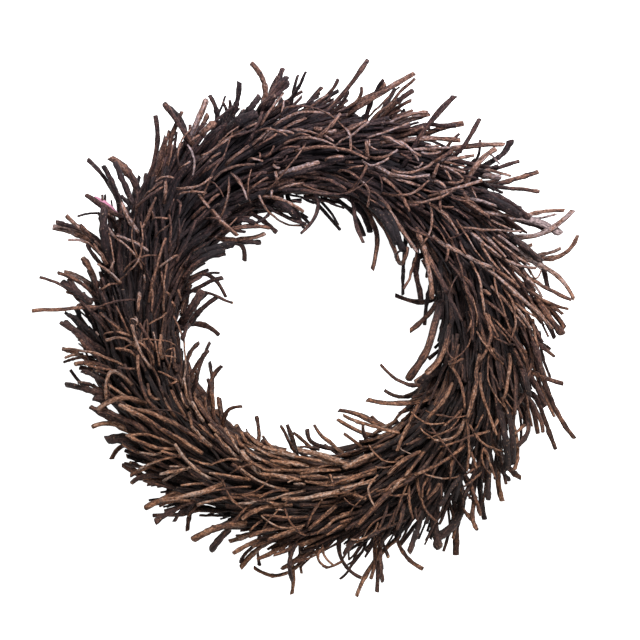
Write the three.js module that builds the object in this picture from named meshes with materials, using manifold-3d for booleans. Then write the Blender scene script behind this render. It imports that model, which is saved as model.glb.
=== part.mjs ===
// A wreath of dried twigs, lying on its back: a wire hoop runs through a ring of twig bunches, and a
// loop of wire ties each bunch at its waist. Every twig points clockwise and fans out of its bunch.
// Millimetres, +Z up, 12 o'clock along +Y.
import * as THREE from "three";
import { mergeVertices } from "three/addons/utils/BufferGeometryUtils.js";
import Module from "manifold-3d";

const wasm = await Module();
wasm.setup();

// The ring
const ringRadius = 143;
const ringCentreX = 4.8;
const ringCentreY = 1.95;
const bunchCount = 15;
const gap = 0.3;

// The wire
const hoopWireRadius = 2;
const hoopSides = 6;
const tieWireRadius = 0.8;
const tieSides = 4;
const tieClearance = 0.45;

// The core of a bunch: packed stems, drawn in at the tie and flat where they lie on the surface
const coreHalfWidth = 31;
const coreHalfHeight = 25;
const coreMiddle = 20;
const coreCorners = 15;
const footAngle = 65;
const grooveShare = 0.86;
const coreGirths = [0.8, 0.74, 0.9, 1];
const waistStation = 1;
const bunchGap = 0.5;

// The twigs
const seed = 14053;
const twigSteps = 3;
const thickTwig = 2;
const taper = 0.8;
const cutEndRise = 0.4;
const lowestTwig = 3.2;
const clearance = 0.45;
const leastDetail = 0.03;
const rootShares = [0.46, 0.95];
const rootDepths = [13, 24];
const viaRise = 0.8;
const strayTries = 300;
const leastLead = 1;
const strayHeights = [6, 72];
const fillSlots = 8;
const fillTries = 24;
const fillLeans = [-22, 202];
const fillLeads = [24, 40];
const fillReaches = [33, 62];
const fillRadii = [1.5, 2.1];

// Twigs whose tips stand clear of the ring, read by eye from the photograph in its pixels:
// the tip, a point that the twig passes on its way out of the ring, and its thickness.
const photoScale = 0.82;
const photoCentre = [311, 326];
const outerTwigs = [
  [32, 311, 81, 308, 4], [59, 273, 74, 287, 4], [65, 272, 88, 284, 4.5], [40, 277, 68, 288, 3],
  [83, 258, 93, 275, 4], [68, 240, 94, 246, 3], [80, 225, 97, 241, 3.5], [52, 227, 84, 237, 6],
  [56, 219, 75, 224, 3.5], [66, 215, 78, 229, 4], [79, 217, 103, 215, 2.5], [88, 196, 111, 210, 4],
  [87, 159, 111, 187, 3.5], [101, 166, 114, 195, 4.5], [108, 157, 133, 182, 7], [155, 114, 151, 163, 4],
  [168, 139, 161, 158, 4], [166, 106, 184, 131, 5], [183, 113, 172, 140, 4], [189, 123, 190, 136, 4],
  [206, 100, 199, 117, 5], [209, 114, 201, 130, 4], [211, 94, 215, 119, 3], [223, 102, 227, 117, 3.5],
  [229, 100, 229, 113, 3], [239, 81, 231, 118, 4.5], [251, 63, 264, 98, 4], [284, 68, 267, 97, 4.5],
  [287, 80, 267, 106, 5], [298, 75, 293, 93, 3], [306, 73, 297, 90, 2.5], [312, 86, 311, 96, 2.5],
  [322, 86, 308, 104, 4], [338, 80, 330, 92, 3], [368, 60, 345, 89, 4.5], [348, 93, 343, 104, 3],
  [361, 89, 357, 101, 3], [383, 81, 376, 92, 3.5], [415, 73, 372, 95, 4], [396, 86, 386, 105, 5],
  [414, 81, 398, 96, 3], [414, 91, 393, 106, 5], [405, 109, 395, 121, 4], [427, 113, 403, 117, 3.5],
  [430, 115, 400, 125, 4.5], [455, 95, 424, 131, 4.5], [464, 124, 428, 130, 6], [459, 142, 425, 140, 4],
  [480, 119, 451, 149, 3.5], [480, 140, 477, 160, 3], [475, 156, 443, 160, 4], [511, 141, 483, 163, 4.5],
  [518, 162, 490, 170, 4], [539, 172, 505, 180, 4], [539, 191, 500, 187, 4], [564, 211, 530, 214, 4],
  [574, 209, 545, 231, 4.5], [561, 234, 527, 222, 6], [578, 236, 545, 258, 3.5], [574, 299, 545, 268, 4],
  [569, 300, 535, 283, 4], [567, 309, 530, 294, 3], [550, 291, 546, 274, 3], [564, 328, 548, 308, 5],
  [561, 314, 550, 306, 3], [554, 338, 536, 309, 4.5], [552, 356, 541, 347, 3.5], [561, 383, 535, 374, 4],
  [574, 438, 553, 400, 4.5], [556, 449, 545, 415, 3.5], [537, 435, 533, 420, 3], [541, 431, 536, 412, 3.5],
  [516, 445, 527, 428, 4], [522, 478, 506, 462, 3], [515, 470, 515, 448, 3], [505, 483, 500, 462, 3.5],
  [502, 502, 496, 480, 3.5], [488, 500, 486, 480, 3.5], [485, 519, 477, 500, 4], [477, 530, 466, 513, 3],
  [456, 555, 458, 528, 4.5], [453, 539, 455, 520, 3], [443, 551, 448, 531, 3.5], [438, 549, 431, 538, 5],
  [423, 569, 398, 541, 3.5], [409, 552, 417, 534, 5], [382, 578, 380, 562, 3.5], [377, 592, 379, 569, 4],
  [356, 597, 375, 558, 5], [340, 579, 352, 568, 2.5], [361, 578, 348, 565, 3], [349, 560, 361, 546, 2.5],
  [292, 594, 295, 570, 3.5], [284, 567, 310, 552, 5], [254, 568, 290, 571, 2.5], [274, 555, 290, 545, 2.5],
  [240, 567, 266, 545, 5], [260, 565, 258, 553, 2.5], [233, 553, 252, 545, 4], [229, 541, 250, 536, 4],
  [193, 539, 225, 526, 7], [188, 531, 193, 510, 4], [173, 522, 193, 508, 4],
  [155, 522, 190, 503, 4], [145, 508, 185, 495, 4], [141, 487, 156, 482, 4], [133, 482, 148, 475, 4],
  [130, 476, 150, 464, 3.5], [129, 461, 142, 468, 4], [111, 460, 130, 448, 4], [106, 440, 130, 442, 8],
  [92, 427, 121, 429, 4], [90, 407, 118, 420, 5], [94, 397, 110, 400, 5], [66, 385, 98, 392, 5],
  [79, 382, 94, 388, 3], [79, 367, 94, 373, 4], [75, 364, 92, 366, 3.5], [63, 362, 80, 358, 3],
  [62, 349, 92, 354, 3.5], [64, 323, 82, 334, 5], [69, 315, 84, 325, 4],
];
const innerTwigs = [
  [233, 303, 210, 295, 3], [223, 278, 200, 289, 4], [218, 299, 197, 312, 4], [226, 297, 213, 279, 3.5],
  [219, 273, 207, 273, 2.5], [244, 260, 240, 243, 4.5], [265, 234, 228, 239, 4], [277, 233, 252, 214, 4],
  [303, 212, 275, 199, 4.5], [309, 209, 295, 203, 3], [306, 217, 284, 208, 4], [302, 228, 299, 218, 3.5],
  [301, 234, 317, 213, 3], [306, 225, 268, 210, 3.5], [340, 229, 325, 212, 3.5], [363, 243, 354, 219, 3],
  [368, 235, 368, 224, 3], [372, 270, 374, 230, 3.5], [399, 262, 384, 231, 4.5], [402, 295, 405, 262, 3],
  [404, 287, 412, 262, 4], [420, 300, 415, 275, 4], [396, 295, 432, 300, 4.5], [425, 325, 431, 285, 4],
  [410, 331, 433, 309, 4.5], [381, 365, 410, 385, 3.5], [385, 391, 405, 398, 4.5], [367, 399, 400, 403, 5],
  [339, 411, 383, 426, 4.5], [338, 420, 380, 436, 4], [372, 417, 381, 425, 3.5], [363, 424, 368, 438, 3.5],
  [344, 433, 357, 443, 3], [314, 425, 335, 448, 4], [307, 430, 315, 445, 4.5], [294, 432, 308, 444, 3.5],
  [287, 425, 293, 443, 3.5], [281, 425, 292, 444, 3.5], [263, 440, 273, 448, 4.5], [256, 417, 258, 440, 3.5],
  [245, 433, 258, 445, 5], [236, 426, 241, 437, 5], [242, 407, 227, 414, 4], [219, 399, 221, 412, 3],
  [208, 379, 211, 395, 4], [205, 391, 193, 399, 3], [222, 365, 211, 385, 4], [209, 361, 212, 380, 4],
  [208, 351, 192, 376, 4], [199, 343, 185, 364, 3.5], [198, 370, 196, 382, 4], [219, 335, 200, 325, 3.5],
];

// Worked out from the dimensions above
const sector = 360 / bunchCount;
const stations = coreGirths.length - 1;
const waistShare = waistStation / stations;
const channelRadius = hoopWireRadius + gap / Math.cos(Math.PI / hoopSides);
const radians = THREE.MathUtils.degToRad;
const mix = THREE.MathUtils.lerp;

const barkMaterial = () => new THREE.MeshStandardMaterial({ color: 0x49322b, roughness: 0.85, metalness: 0 });
const wireMaterial = () => new THREE.MeshStandardMaterial({ color: 0x3a2f28, roughness: 0.5, metalness: 0.8 });

// The point at a clock angle, a distance out from the hoop's line and a height, about the ring's centre.
function ringPoint(clock, out, height) {
  const angle = radians(clock);
  const radius = ringRadius + out;
  return new THREE.Vector3(radius * Math.sin(angle), radius * Math.cos(angle), height);
}

// The clock angle and the distance out from the hoop's line of a point.
function ringPlace(point) {
  return {
    clock: (THREE.MathUtils.radToDeg(Math.atan2(point.x, point.y)) + 360) % 360,
    out: Math.hypot(point.x, point.y) - ringRadius,
  };
}

function photoPoint(x, y, height) {
  return new THREE.Vector3((x - photoCentre[0]) * photoScale, (photoCentre[1] - y) * photoScale, height);
}

// A number from 0 to 1 that depends only on its keys.
function draw(...keys) {
  let hash = seed;
  for (const key of keys) {
    hash = Math.imul(hash ^ (key + 1), 0x9e3779b1);
    hash ^= hash >>> 15;
    hash = Math.imul(hash, 0x85ebca6b);
    hash ^= hash >>> 13;
  }
  return (hash >>> 0) / 4294967296;
}

// A closed surface through rings of points, which turn clockwise seen from the first ring's side.
// A ring that follows the last one closes into a loop, and otherwise both ends are capped.
function loft(rings, closed) {
  const corners = rings[0].length;
  const points = rings.flat();
  const faces = [];
  const spans = closed ? rings.length : rings.length - 1;
  for (let i = 0; i < spans; i++) {
    const near = i * corners;
    const far = ((i + 1) % rings.length) * corners;
    for (let j = 0; j < corners; j++) {
      const k = (j + 1) % corners;
      faces.push(near + j, near + k, far + k, near + j, far + k, far + j);
    }
  }
  if (!closed) {
    const lastRing = (rings.length - 1) * corners;
    const middles = [rings[0], rings.at(-1)].map((ring) =>
      ring.reduce((sum, point) => sum.add(point), new THREE.Vector3()).divideScalar(corners),
    );
    const start = points.push(middles[0]) - 1;
    const end = points.push(middles[1]) - 1;
    for (let j = 0; j < corners; j++) {
      const k = (j + 1) % corners;
      faces.push(start, k, j, end, lastRing + j, lastRing + k);
    }
  }
  return new THREE.BufferGeometry().setFromPoints(points).setIndex(faces);
}

function toSolid(geometry) {
  geometry.deleteAttribute("normal");
  geometry.deleteAttribute("uv");
  const merged = mergeVertices(geometry, 1e-4);
  const vertProperties = merged.getAttribute("position").array;
  const triVerts = new Uint32Array(merged.index.array);
  return new wasm.Manifold(new wasm.Mesh({ numProp: 3, vertProperties, triVerts }));
}

// The largest body alone, so that loose scraps are dropped and sealed hollows filled, without the
// slivers that joining leaves.
function toGeometry(solid) {
  const bodies = solid.simplify(leastDetail).decompose();
  const mesh = bodies.sort((a, b) => b.volume() - a.volume())[0].getMesh();
  const geometry = new THREE.BufferGeometry();
  geometry.setAttribute("position", new THREE.BufferAttribute(mesh.vertProperties, 3));
  geometry.setIndex(new THREE.BufferAttribute(mesh.triVerts, 1));
  geometry.computeVertexNormals();
  return geometry;
}

// The core's outline at a station: ridges and grooves round an oval, with its foot cut flat.
function coreOutline(clock, girth) {
  return Array.from({ length: coreCorners }, (_, j) => {
    const angle = radians(-footAngle + (j * (180 + 2 * footAngle)) / (coreCorners - 1));
    const share = girth * (j % 2 ? grooveShare : 1);
    const height = Math.max(0, coreMiddle + coreHalfHeight * share * Math.sin(angle));
    return ringPoint(clock, coreHalfWidth * share * Math.cos(angle), height);
  });
}

function hexagon(clock, radius) {
  return Array.from({ length: hoopSides }, (_, j) => {
    const angle = (j * 2 * Math.PI) / hoopSides;
    return ringPoint(clock, radius * Math.cos(angle), coreMiddle + radius * Math.sin(angle));
  });
}

function stationClock(bunch, station) {
  const inset = THREE.MathUtils.radToDeg(bunchGap / 2 / ringRadius);
  const ends = [bunch * sector + inset, (bunch + 1) * sector - inset];
  if (station === 0) return ends[0];
  return station === stations ? ends[1] : (bunch + station / stations) * sector;
}

function bunchCore(bunch) {
  const outlines = coreGirths.map((girth, i) => coreOutline(stationClock(bunch, i), girth));
  const bores = Array.from({ length: stations + 3 }, (_, i) =>
    hexagon((bunch + (i - 1) / stations) * sector, channelRadius),
  );
  return toSolid(loft(outlines, false)).subtract(toSolid(loft(bores, false)));
}

// The curve from a twig's root to its tip that passes the point between them.
function twigCurve(root, via, tip) {
  const before = root.distanceTo(via);
  const t = THREE.MathUtils.clamp(before / (before + via.distanceTo(tip)), 0.35, 0.75);
  const control = via.clone().addScaledVector(root, -((1 - t) ** 2)).addScaledVector(tip, -(t ** 2));
  return new THREE.QuadraticBezierCurve3(root, control.divideScalar(2 * t * (1 - t)), tip);
}

function makeTwig(bunch, root, via, tip, radius) {
  const curve = twigCurve(root, via, tip);
  const points = Array.from({ length: twigSteps + 1 }, (_, i) => curve.getPoint(i / twigSteps));
  return { bunch, curve, points, radius, tip };
}

// The point at a distance from the hoop's line, leaning at an angle round it: 0 is outwards, 90 is up.
function leanPoint(clock, lean, distance) {
  const height = coreMiddle + distance * Math.sin(lean);
  return ringPoint(clock, distance * Math.cos(lean), Math.max(lowestTwig, height));
}

// A twig read from the photograph, with its root in a bunch a little way back round the ring.
function strayTwig(index, [tipX, tipY, viaX, viaY, thickness], attempt) {
  const pick = (n) => draw(1, index, attempt, n);
  const tipHeight = mix(...strayHeights, pick(0));
  const viaHeight = mix(coreMiddle, tipHeight, viaRise);
  const via = photoPoint(viaX, viaY, viaHeight);
  const { clock, out } = ringPlace(via);
  const latest = (clock - leastLead) / sector;
  const bunch = Math.floor(latest - rootShares[0]) - (attempt % 2);
  const rootShare = mix(rootShares[0], Math.min(rootShares[1], latest - bunch), pick(1));
  const rootClock = (bunch + rootShare) * sector;
  const lean = Math.atan2(viaHeight - coreMiddle, out) + mix(-0.7, 0.7, pick(2));
  const root = leanPoint(rootClock, lean, mix(...rootDepths, pick(3)));
  const tip = photoPoint(tipX, tipY, tipHeight);
  return makeTwig((bunch + bunchCount) % bunchCount, root, via, tip, (thickness * photoScale) / 2);
}

// A twig of the ring's body.
function fillTwig(bunch, slot, attempt) {
  const pick = (n) => draw(2, bunch, slot, attempt, n);
  const lean = radians(mix(...fillLeans, (slot + pick(0)) / fillSlots));
  const rootClock = (bunch + mix(...rootShares, pick(1))) * sector;
  const lead = mix(...fillLeads, pick(2));
  const reach = mix(...fillReaches, pick(3) ** 1.5);
  const radius = mix(...fillRadii, pick(4));
  const root = leanPoint(rootClock, lean, mix(...rootDepths, pick(5)));
  const via = leanPoint(rootClock + lead * mix(0.4, 0.55, pick(6)), lean, mix(29, 0.7 * reach, 0.5));
  const tip = leanPoint(rootClock + lead, lean, reach);
  return makeTwig(bunch, root, via, tip, radius);
}

// The shortest distance between the stretches p to q and r to s.
function stretchDistance(p, q, r, s) {
  const along = q.clone().sub(p);
  const across = s.clone().sub(r);
  const apart = p.clone().sub(r);
  const a = along.lengthSq();
  const b = along.dot(across);
  const c = across.lengthSq();
  const d = along.dot(apart);
  const e = across.dot(apart);
  const clamp = (value) => THREE.MathUtils.clamp(value, 0, 1);
  const skew = a * c - b * b;
  let u = skew > 1e-9 ? clamp((b * e - c * d) / skew) : 0;
  const v = clamp((b * u + e) / c);
  u = clamp((b * v - d) / a);
  return apart.addScaledVector(along, u).addScaledVector(across, -v).length();
}

function twigsTouch(one, other) {
  const least = one.radius + other.radius + clearance;
  for (let i = 0; i < twigSteps; i++) {
    for (let j = 0; j < twigSteps; j++) {
      const distance = stretchDistance(one.points[i], one.points[i + 1], other.points[j], other.points[j + 1]);
      if (distance < least) return true;
    }
  }
  return false;
}

// The girth of the cores at a share of the way along a bunch, counting the wire of the tie.
function coreGirth(share) {
  const along = (((share % 1) + 1) % 1) * stations;
  const station = Math.floor(along);
  const girth = mix(coreGirths[station], coreGirths[station + 1], along - station);
  return Math.max(girth, coreGirths[waistStation] + (2 * tieWireRadius + tieClearance) / coreHalfWidth);
}

// Whether a twig stays above the surface and out of the cores of the other bunches.
function twigIsFree(twig) {
  const room = twig.radius + clearance;
  for (let i = 0; i <= 6 * twigSteps; i++) {
    const point = twig.curve.getPoint(i / (6 * twigSteps));
    if (point.z < twig.radius + 0.6) return false;
    const { clock, out } = ringPlace(point);
    const inBunch = clock / sector - twig.bunch;
    const ownShare = inBunch - bunchCount * Math.round((inBunch - 0.5) / bunchCount);
    const edge = (room + bunchGap) / (radians(sector) * ringRadius);
    if (ownShare > waistShare + edge && ownShare < 1 - edge) continue;
    const girth = coreGirth(ownShare);
    const width = coreHalfWidth * girth + room;
    const height = coreHalfHeight * girth + room;
    if (Math.hypot(out / width, (point.z - coreMiddle) / height) < 1) return false;
  }
  return true;
}

// The first of a twig's tries that is free and clear of every twig of the other bunches.
function placeTwig(placed, tries, attemptTwig) {
  for (let attempt = 0; attempt < tries; attempt++) {
    const twig = attemptTwig(attempt);
    const clear = twigIsFree(twig) && !placed.some((other) => other.bunch !== twig.bunch && twigsTouch(twig, other));
    if (clear) {
      placed.push(twig);
      return;
    }
  }
}

function placeTwigs() {
  const placed = [];
  [...outerTwigs, ...innerTwigs].forEach((reading, index) =>
    placeTwig(placed, strayTries, (attempt) => strayTwig(index, reading, attempt)),
  );
  for (let slot = 0; slot < fillSlots; slot++) {
    for (let bunch = 0; bunch < bunchCount; bunch++) {
      placeTwig(placed, fillTries, (attempt) => fillTwig(bunch, slot, attempt));
    }
  }
  return placed;
}

// A tapered stick bent along the twig's curve, with a cut end that rises a little at its middle.
function twigSolid(twig) {
  const sides = twig.radius < thickTwig ? 3 : 4;
  const stick = new THREE.CylinderGeometry(twig.radius * taper, twig.radius, 1, sides, twigSteps);
  const position = stick.getAttribute("position");
  const up = new THREE.Vector3(0, 0, 1);
  for (let i = 0; i < position.count; i++) {
    const t = position.getY(i) + 0.5;
    const tangent = twig.curve.getTangent(t);
    const side = tangent.clone().cross(up).normalize();
    const above = side.clone().cross(tangent);
    const point = twig.curve.getPoint(t);
    point.addScaledVector(side, position.getX(i)).addScaledVector(above, position.getZ(i));
    if (t === 1 && Math.hypot(position.getX(i), position.getZ(i)) < 1e-6) {
      point.addScaledVector(tangent, cutEndRise * twig.radius);
    }
    position.setXYZ(i, point.x, point.y, point.z);
  }
  return toSolid(stick);
}

// One loop of wire round the waist of a core, over its ridges.
function tieGeometry(bunch) {
  const clock = stationClock(bunch, waistStation);
  const offset = tieWireRadius + tieClearance;
  const ridges = (coreCorners + 1) / 2;
  const rings = Array.from({ length: ridges }, (_, j) => {
    const angle = radians(-footAngle + (j * (180 + 2 * footAngle)) / (ridges - 1));
    return Array.from({ length: tieSides }, (_, k) => {
      const turn = ((k + 0.5) * 2 * Math.PI) / tieSides;
      const outward = offset + tieWireRadius * Math.cos(turn);
      const width = coreHalfWidth * coreGirths[waistStation] + outward;
      const height = coreHalfHeight * coreGirths[waistStation] + outward;
      const along = THREE.MathUtils.radToDeg((tieWireRadius * Math.sin(turn)) / ringRadius);
      return ringPoint(clock + along, width * Math.cos(angle), coreMiddle + height * Math.sin(angle));
    });
  });
  return loft(rings.reverse(), true);
}

function pieceName(kind, bunch) {
  return kind + "_" + String(bunch + 1).padStart(2, "0");
}

const wreath = new THREE.Group();
wreath.position.set(ringCentreX, ringCentreY, 0);

function addPiece(name, geometry, material) {
  const mesh = new THREE.Mesh(geometry, material);
  mesh.name = name;
  wreath.add(mesh);
  return mesh;
}

const hoopGeometry = new THREE.TorusGeometry(ringRadius, hoopWireRadius, hoopSides, bunchCount * stations);
const hoop = addPiece("wire_hoop", hoopGeometry, wireMaterial());
hoop.rotation.z = Math.PI / 2;
hoop.position.z = coreMiddle;

const twigs = placeTwigs();
for (let bunch = 0; bunch < bunchCount; bunch++) {
  const solids = twigs.filter((twig) => twig.bunch === bunch).map(twigSolid);
  const whole = solids.reduce((sum, solid) => sum.add(solid), bunchCore(bunch));
  addPiece(pieceName("twig_bunch", bunch), toGeometry(whole), barkMaterial());
  addPiece(pieceName("wire_tie", bunch), tieGeometry(bunch), wireMaterial());
}

const part = new THREE.Group();
part.add(wreath);

export default part;
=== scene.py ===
import bpy
import mathutils
import numpy as np
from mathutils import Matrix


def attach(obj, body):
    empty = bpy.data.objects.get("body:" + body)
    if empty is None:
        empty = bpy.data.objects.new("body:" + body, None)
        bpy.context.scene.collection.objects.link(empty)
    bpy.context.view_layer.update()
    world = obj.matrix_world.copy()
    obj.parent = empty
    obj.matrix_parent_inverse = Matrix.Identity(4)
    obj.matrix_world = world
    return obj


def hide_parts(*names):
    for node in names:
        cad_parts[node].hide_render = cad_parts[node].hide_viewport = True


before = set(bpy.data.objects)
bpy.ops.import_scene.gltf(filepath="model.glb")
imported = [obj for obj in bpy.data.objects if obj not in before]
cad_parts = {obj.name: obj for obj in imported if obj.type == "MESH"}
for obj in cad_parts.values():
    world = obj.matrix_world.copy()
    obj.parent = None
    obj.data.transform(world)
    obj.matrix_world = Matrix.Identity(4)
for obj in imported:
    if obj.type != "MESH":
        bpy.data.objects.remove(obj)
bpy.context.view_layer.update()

bpy.context.scene.view_settings.view_transform = "Standard"

# A wreath of dried twigs on its back, 12 o'clock along +Y. Shapes are worked out in millimetres and
# written to the meshes in metres.
wreath = {"centre": (4.8, 1.95), "radius": 143.0, "bunches": 15, "middle": 20.0, "seed": 14053}
photo = {"mmPerPixel": 0.82, "ringPixel": (311, 326), "pixels": 640}
stage = {
    "floor": 3.0, "floorColour": (0.7, 0.7, 0.7), "floorRoughness": 0.9, "floorGlow": 1.0, "lens": 200, "sensor": 36,
    "planeHeight": 40, "farthest": 20, "lampAim": (0, 0, 0.03),
}
# how far a twig's middle stays above the floor: so many radii and so many millimetres
ground = {"ridges": 1.25, "clearance": 0.4}
# between which t a twig's curve passes its middle reading
viaTimes = (0.35, 0.75)
sector = 360 / wreath["bunches"]


def mix(low, high, share):
    return low + (high - low) * share


def draw(*keys):
    # whole numbers scrambled by xor, multiply and shift into an even spread over 0 to 1, as the solids
    # draw theirs; the first key is 1 for the twigs with readings and 2 for those of the body
    keys = np.broadcast_arrays(*[np.asarray(key, np.int64) for key in keys])
    spread = np.full(keys[0].shape, wreath["seed"], np.uint64)
    for key in keys:
        spread = ((spread ^ (key + 1).astype(np.uint64)) * 0x9E3779B1) & 0xFFFFFFFF
        spread ^= spread >> 15
        spread = (spread * 0x85EBCA6B) & 0xFFFFFFFF
        spread ^= spread >> 13
    return spread / 2**32


def ringPoint(clock, out, height):
    # a clock angle, a distance out from the hoop's line and a height
    angle, reach = np.radians(clock), wreath["radius"] + out
    x = wreath["centre"][0] + reach * np.sin(angle)
    y = wreath["centre"][1] + reach * np.cos(angle)
    return np.stack(np.broadcast_arrays(x, y, height), -1)


def ringPlace(points):
    # the clock angle and the distance out from the hoop's line
    x = points[..., 0] - wreath["centre"][0]
    y = points[..., 1] - wreath["centre"][1]
    return np.degrees(np.arctan2(x, y)) % 360, np.hypot(x, y) - wreath["radius"]


def photoPoint(x, y, height):
    # pixels of the photograph, spread over the plane of the ring
    east = wreath["centre"][0] + (np.asarray(x) - photo["ringPixel"][0]) * photo["mmPerPixel"]
    north = wreath["centre"][1] + (photo["ringPixel"][1] - np.asarray(y)) * photo["mmPerPixel"]
    return np.stack(np.broadcast_arrays(east, north, height), -1)


def sightPoint(points, power):
    # power 1 moves points from straight above their pixels onto the camera's lines of sight, -1 back
    middle = photo["pixels"] / 2
    axis = photoPoint(middle, middle, 0.0)[:2]
    distance = photo["pixels"] * photo["mmPerPixel"] * stage["lens"] / stage["sensor"]
    share = (distance + stage["planeHeight"] - points[..., 2:]) / distance
    return np.concatenate((axis + (points[..., :2] - axis) * share**power, points[..., 2:]), -1)


def leanPoint(clock, lean, distance, lowest):
    # a distance from the hoop's line, leaning round it from outwards (0) over the top (90 degrees)
    height = wreath["middle"] + distance * np.sin(lean)
    return ringPoint(clock, distance * np.cos(lean), np.maximum(lowest, height))


def bowControl(root, via, tip):
    # the control point of root (1-t)^2 + control 2t(1-t) + tip t^2 that takes the curve through via at
    # the t which shares the chords' lengths, between the two limits
    before = np.linalg.norm(via - root, axis=-1, keepdims=True)
    after = np.linalg.norm(tip - via, axis=-1, keepdims=True)
    t = np.clip(before / (before + after), *viaTimes)
    return (via - root * (1 - t) ** 2 - tip * t**2) / (2 * t * (1 - t))


def bowPath(root, control, tip, stations):
    t = np.linspace(0, 1, stations)[None, :, None]
    return root[:, None] * (1 - t) ** 2 + control[:, None] * 2 * t * (1 - t) + tip[:, None] * t**2


def unit(vectors):
    return vectors / np.maximum(np.linalg.norm(vectors, axis=-1, keepdims=True), 1e-9)


def towards(clock, middle):
    # 1 at one clock angle, 0 opposite to it, a cosine between
    return 0.5 + 0.5 * np.cos(np.radians(clock - middle))


# The twigs that stand clear of the ring in the solids too, read from the photograph in its pixels:
# tip, a point on the way out, and thickness
outerTwigs = [
    [32, 311, 81, 308, 4], [59, 273, 74, 287, 4], [65, 272, 88, 284, 4.5], [40, 277, 68, 288, 3],
    [83, 258, 93, 275, 4], [68, 240, 94, 246, 3], [80, 225, 97, 241, 3.5], [52, 227, 84, 237, 6],
    [56, 219, 75, 224, 3.5], [66, 215, 78, 229, 4], [79, 217, 103, 215, 2.5], [88, 196, 111, 210, 4],
    [87, 159, 111, 187, 3.5], [101, 166, 114, 195, 4.5], [108, 157, 133, 182, 7], [155, 114, 151, 163, 4],
    [168, 139, 161, 158, 4], [166, 106, 184, 131, 5], [183, 113, 172, 140, 4], [189, 123, 190, 136, 4],
    [206, 100, 199, 117, 5], [209, 114, 201, 130, 4], [211, 94, 215, 119, 3], [223, 102, 227, 117, 3.5],
    [229, 100, 229, 113, 3], [239, 81, 231, 118, 4.5], [251, 63, 264, 98, 4], [284, 68, 267, 97, 4.5],
    [287, 80, 267, 106, 5], [298, 75, 293, 93, 3], [306, 73, 297, 90, 2.5], [312, 86, 311, 96, 2.5],
    [322, 86, 308, 104, 4], [338, 80, 330, 92, 3], [368, 60, 345, 89, 4.5], [348, 93, 343, 104, 3],
    [361, 89, 357, 101, 3], [383, 81, 376, 92, 3.5], [415, 73, 372, 95, 4], [396, 86, 386, 105, 5],
    [414, 81, 398, 96, 3], [414, 91, 393, 106, 5], [405, 109, 395, 121, 4], [427, 113, 403, 117, 3.5],
    [430, 115, 400, 125, 4.5], [455, 95, 424, 131, 4.5], [464, 124, 428, 130, 6], [459, 142, 425, 140, 4],
    [480, 119, 451, 149, 3.5], [480, 140, 477, 160, 3], [475, 156, 443, 160, 4], [511, 141, 483, 163, 4.5],
    [518, 162, 490, 170, 4], [539, 172, 505, 180, 4], [539, 191, 500, 187, 4], [564, 211, 530, 214, 4],
    [574, 209, 545, 231, 4.5], [561, 234, 527, 222, 6], [578, 236, 545, 258, 3.5], [574, 299, 545, 268, 4],
    [569, 300, 535, 283, 4], [567, 309, 530, 294, 3], [550, 291, 546, 274, 3], [564, 328, 548, 308, 5],
    [561, 314, 550, 306, 3], [554, 338, 536, 309, 4.5], [552, 356, 541, 347, 3.5], [561, 383, 535, 374, 4],
    [574, 438, 553, 400, 4.5], [556, 449, 545, 415, 3.5], [537, 435, 533, 420, 3], [541, 431, 536, 412, 3.5],
    [516, 445, 527, 428, 4], [522, 478, 506, 462, 3], [515, 470, 515, 448, 3], [505, 483, 500, 462, 3.5],
    [502, 502, 496, 480, 3.5], [488, 500, 486, 480, 3.5], [485, 519, 477, 500, 4], [477, 530, 466, 513, 3],
    [456, 555, 458, 528, 4.5], [453, 539, 455, 520, 3], [443, 551, 448, 531, 3.5], [438, 549, 431, 538, 5],
    [423, 569, 398, 541, 3.5], [409, 552, 417, 534, 5], [382, 578, 380, 562, 3.5], [377, 592, 379, 569, 4],
    [356, 597, 375, 558, 5], [340, 579, 352, 568, 2.5], [361, 578, 348, 565, 3], [349, 560, 361, 546, 2.5],
    [292, 594, 295, 570, 3.5], [284, 567, 310, 552, 5], [254, 568, 290, 571, 2.5], [274, 555, 290, 545, 2.5],
    [240, 567, 266, 545, 5], [260, 565, 258, 553, 2.5], [233, 553, 252, 545, 4], [229, 541, 250, 536, 4],
    [193, 539, 225, 526, 7], [188, 531, 193, 510, 4], [173, 522, 193, 508, 4],
    [155, 522, 190, 503, 4], [145, 508, 185, 495, 4], [141, 487, 156, 482, 4], [133, 482, 148, 475, 4],
    [130, 476, 150, 464, 3.5], [129, 461, 142, 468, 4], [111, 460, 130, 448, 4], [106, 440, 130, 442, 8],
    [92, 427, 121, 429, 4], [90, 407, 118, 420, 5], [94, 397, 110, 400, 5], [66, 385, 98, 392, 5],
    [79, 382, 94, 388, 3], [79, 367, 94, 373, 4], [75, 364, 92, 366, 3.5], [63, 362, 80, 358, 3],
    [62, 349, 92, 354, 3.5], [64, 323, 82, 334, 5], [69, 315, 84, 325, 4],
]
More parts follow.
